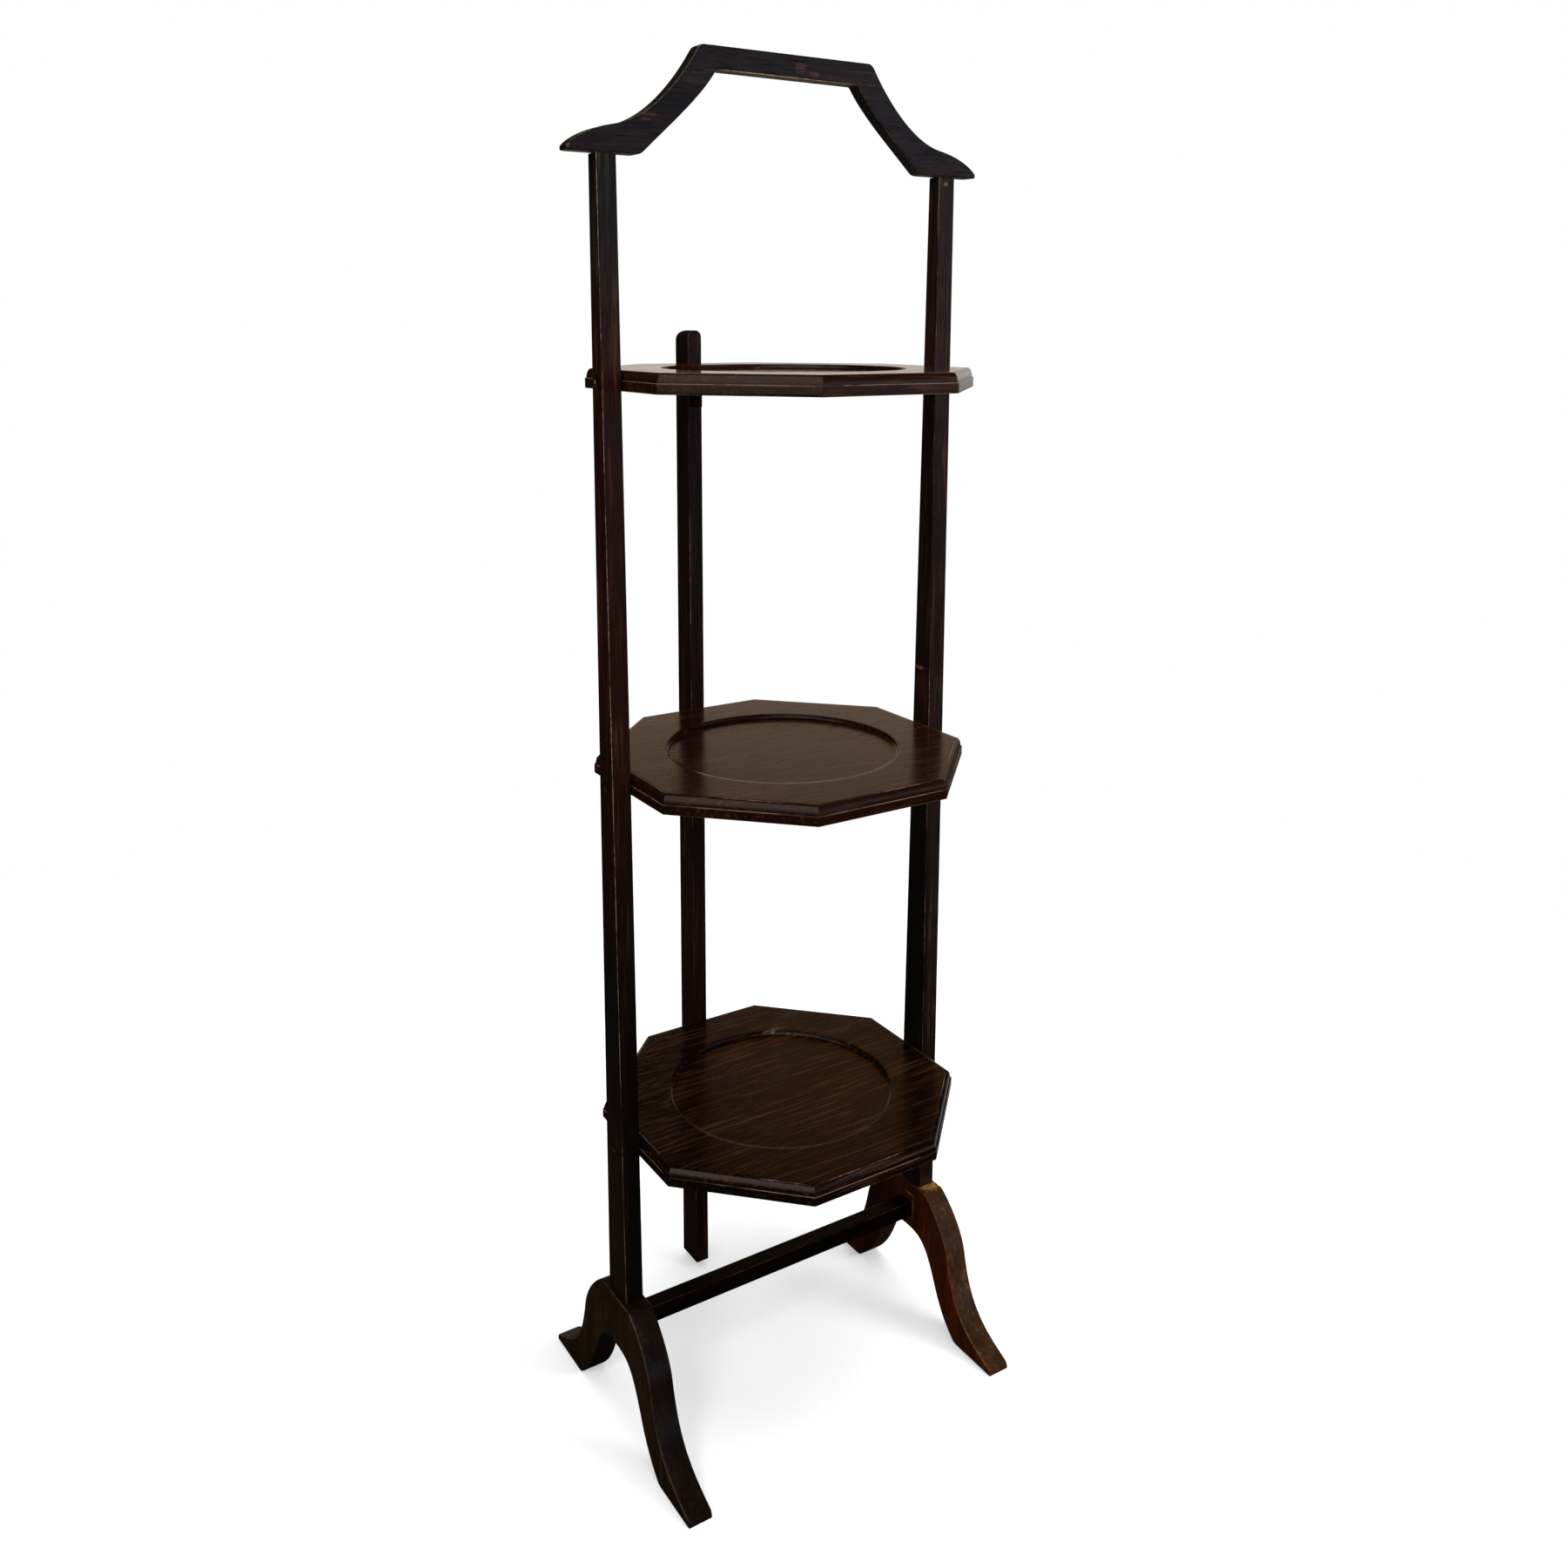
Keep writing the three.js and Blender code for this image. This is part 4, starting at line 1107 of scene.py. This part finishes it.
def studio():
    """Round floor, the surroundings and three soft lamps."""
    floor = bpy.data.meshes.new("floor")
    bearing = np.arange(FLOOR_COLUMNS) * 2 * math.pi / FLOOR_COLUMNS
    rim = np.stack([FLOOR_RADIUS * np.cos(bearing), FLOOR_RADIUS * np.sin(bearing), 0 * bearing], 1)
    floor.from_pydata(rim.tolist(), [], [list(range(len(rim)))])
    ground = bpy.data.objects.new("floor", floor)
    bpy.context.collection.objects.link(ground)
    floor.materials.append(floor_paint())
    surroundings()
    for settings in LAMPS:
        lamp(*settings)


def direction(w, x, y, z, forward):
    """How far a ray's direction goes along another one: their dot product."""
    total = w.maths("ADD", w.maths("MULTIPLY", x, forward[0]), w.maths("MULTIPLY", y, forward[1]))
    return w.maths("ADD", total, w.maths("MULTIPLY", z, forward[2]))


def floor_paint():
    """To the camera a white floor that fades into the white round it and keeps the stand's
    shadow. To the light and in reflections it is dark under and beside the stand, and pale
    towards the rear right, as the surroundings in the photo are."""
    material = bpy.data.materials.new("pale_floor")
    material.use_nodes = True
    w = Wiring(material.node_tree)
    tree = material.node_tree
    tree.nodes.remove(tree.nodes["Principled BSDF"])
    by_camera = w.node("ShaderNodeLightPath").outputs["Is Camera Ray"]
    place = w.node("ShaderNodeTexCoord").outputs["Object"]
    split = w.node("ShaderNodeSeparateXYZ")
    w.join(place, split.inputs[0])
    side = direction(w, *split.outputs, PALE_SIDE)
    other = w.span(side, *PALE_SPAN, FLOOR_DARK, FLOOR_PALE, smooth=True)
    matt = w.node("ShaderNodeBsdfDiffuse")
    paint = w.maths("MAXIMUM", w.maths("MULTIPLY", by_camera, FLOOR_WHITE), other)
    w.join(paint, matt.inputs["Color"])
    lift = w.node("ShaderNodeEmission")
    w.join(w.maths("MULTIPLY", by_camera, FLOOR_LIFT), lift.inputs["Strength"])
    both = w.node("ShaderNodeAddShader")
    w.join(matt.outputs[0], both.inputs[0])
    w.join(lift.outputs[0], both.inputs[1])
    fade = w.span(w.vector("LENGTH", place), FLOOR_FADE, FLOOR_RADIUS - FLOOR_RIM, smooth=True)
    mix = w.node("ShaderNodeMixShader")
    w.join(fade, mix.inputs[0])
    w.join(both.outputs[0], mix.inputs[1])
    w.join(w.node("ShaderNodeBsdfTransparent").outputs[0], mix.inputs[2])
    w.join(mix.outputs[0], tree.nodes["Material Output"].inputs["Surface"])
    return material


def ramp(w, value, stops):
    """Colours blended along a value, from (place, colour) stops."""
    made = w.node("ShaderNodeValToRGB")
    w.join(value, made.inputs[0])
    points = made.color_ramp.elements
    while len(points) < len(stops):
        points.new(1)
    for point, (place, colour) in zip(points, stops):
        point.position = place
    for point, (place, colour) in zip(points, stops):
        point.color = (*colour, 1)
    return made.outputs[0]


def surroundings():
    """White to the camera, and even for the light. Reflections see what stood round the
    stand in the photo: a pale backdrop behind that turns warm and dark upwards, a cool
    window to the front right, and a bright one high on the left. High up, the backdrop
    ends on the left."""
    world = bpy.data.worlds.new("studio")
    bpy.context.scene.world = world
    world.use_nodes = True
    w = Wiring(world.node_tree)
    path = w.node("ShaderNodeLightPath")
    mirrored = w.maths("MAXIMUM", path.outputs["Is Glossy Ray"], path.outputs["Is Transmission Ray"])
    way = w.node("ShaderNodeSeparateXYZ")
    w.join(w.node("ShaderNodeTexCoord").outputs["Generated"], way.inputs[0])
    x, y, z = way.outputs
    behind = w.span(direction(w, x, y, z, BEHIND), *BEHIND_EDGE, smooth=True)
    within = w.maths("MAXIMUM", w.span(x, *BACKDROP_END), w.span(z, *BACKDROP_END_HEIGHT))
    behind = w.maths("MULTIPLY", behind, within)
    ahead = w.span(direction(w, x, y, z, AHEAD), *AHEAD_EDGE, smooth=True)
    ahead = w.maths("MULTIPLY", ahead, w.span(x, *WINDOW_SIDE, 0.5, 1.0))
    high = w.span(direction(w, x, y, z, HIGH_LEFT), *HIGH_EDGE, smooth=True)
    parts = [
        w.blend(behind, BLACK, ramp(w, w.span(z, *BACKDROP_HEIGHTS), BACKDROP)),
        w.blend(ahead, BLACK, ramp(w, w.span(z, *WINDOW_HEIGHTS), WINDOW)),
        w.blend(high, BLACK, HIGH_LIGHT),
    ]
    glow = w.blend(1.0, w.blend(1.0, parts[0], parts[1], "ADD"), parts[2], "ADD")
    glow = w.blend(1.0, glow, DIM, "ADD")
    shown = w.blend(mirrored, (EVEN_LIGHT, EVEN_LIGHT, EVEN_LIGHT, 1), glow)
    shown = w.blend(path.outputs["Is Camera Ray"], shown, WHITE)
    light = world.node_tree.nodes["Background"]
    w.join(shown, light.inputs["Color"])
    light.inputs["Strength"].default_value = 1


def lamp(name, place, aim, size, power):
    """Round soft lamp that looks at its aim and doesn't show in reflections."""
    data = bpy.data.lights.new(name, "AREA")
    data.shape = "DISK"
    data.size = size
    data.energy = power
    thing = bpy.data.objects.new(name, data)
    bpy.context.collection.objects.link(thing)
    thing.location = place
    thing.visible_glossy = False
    thing.rotation_euler = (Vector(aim) - Vector(place)).to_track_quat("-Z", "Y").to_euler()


def camera():
    """The photo's camera: its place, its turn and tilt, and its lens and centre in pixels."""
    forward = Vector((
        math.sin(CAMERA_YAW) * math.cos(CAMERA_PITCH), math.cos(CAMERA_YAW) * math.cos(CAMERA_PITCH),
        math.sin(CAMERA_PITCH),
    ))
    right = Vector((math.cos(CAMERA_YAW), -math.sin(CAMERA_YAW), 0))
    down = forward.cross(right)
    cos_roll, sin_roll = math.cos(CAMERA_ROLL), math.sin(CAMERA_ROLL)
    right, down = cos_roll * right + sin_roll * down, cos_roll * down - sin_roll * right
    data = bpy.data.cameras.new("camera")
    data.sensor_width = SENSOR
    data.sensor_fit = "AUTO"
    data.lens = FOCAL_PIXELS / IMAGE_SIZE * SENSOR
    data.shift_x = (IMAGE_SIZE / 2 - HORIZONTAL_CENTRE) / IMAGE_SIZE
    data.shift_y = (VERTICAL_CENTRE - IMAGE_SIZE / 2) / IMAGE_SIZE
    thing = bpy.data.objects.new("camera", data)
    bpy.context.collection.objects.link(thing)
    turn = Matrix((right, -down, -forward)).transposed()
    thing.matrix_world = Matrix.Translation(CAMERA_PLACE) @ turn.to_4x4()
    bpy.context.scene.camera = thing


studio()
camera()
bpy.context.scene.view_settings.view_transform = "Standard"
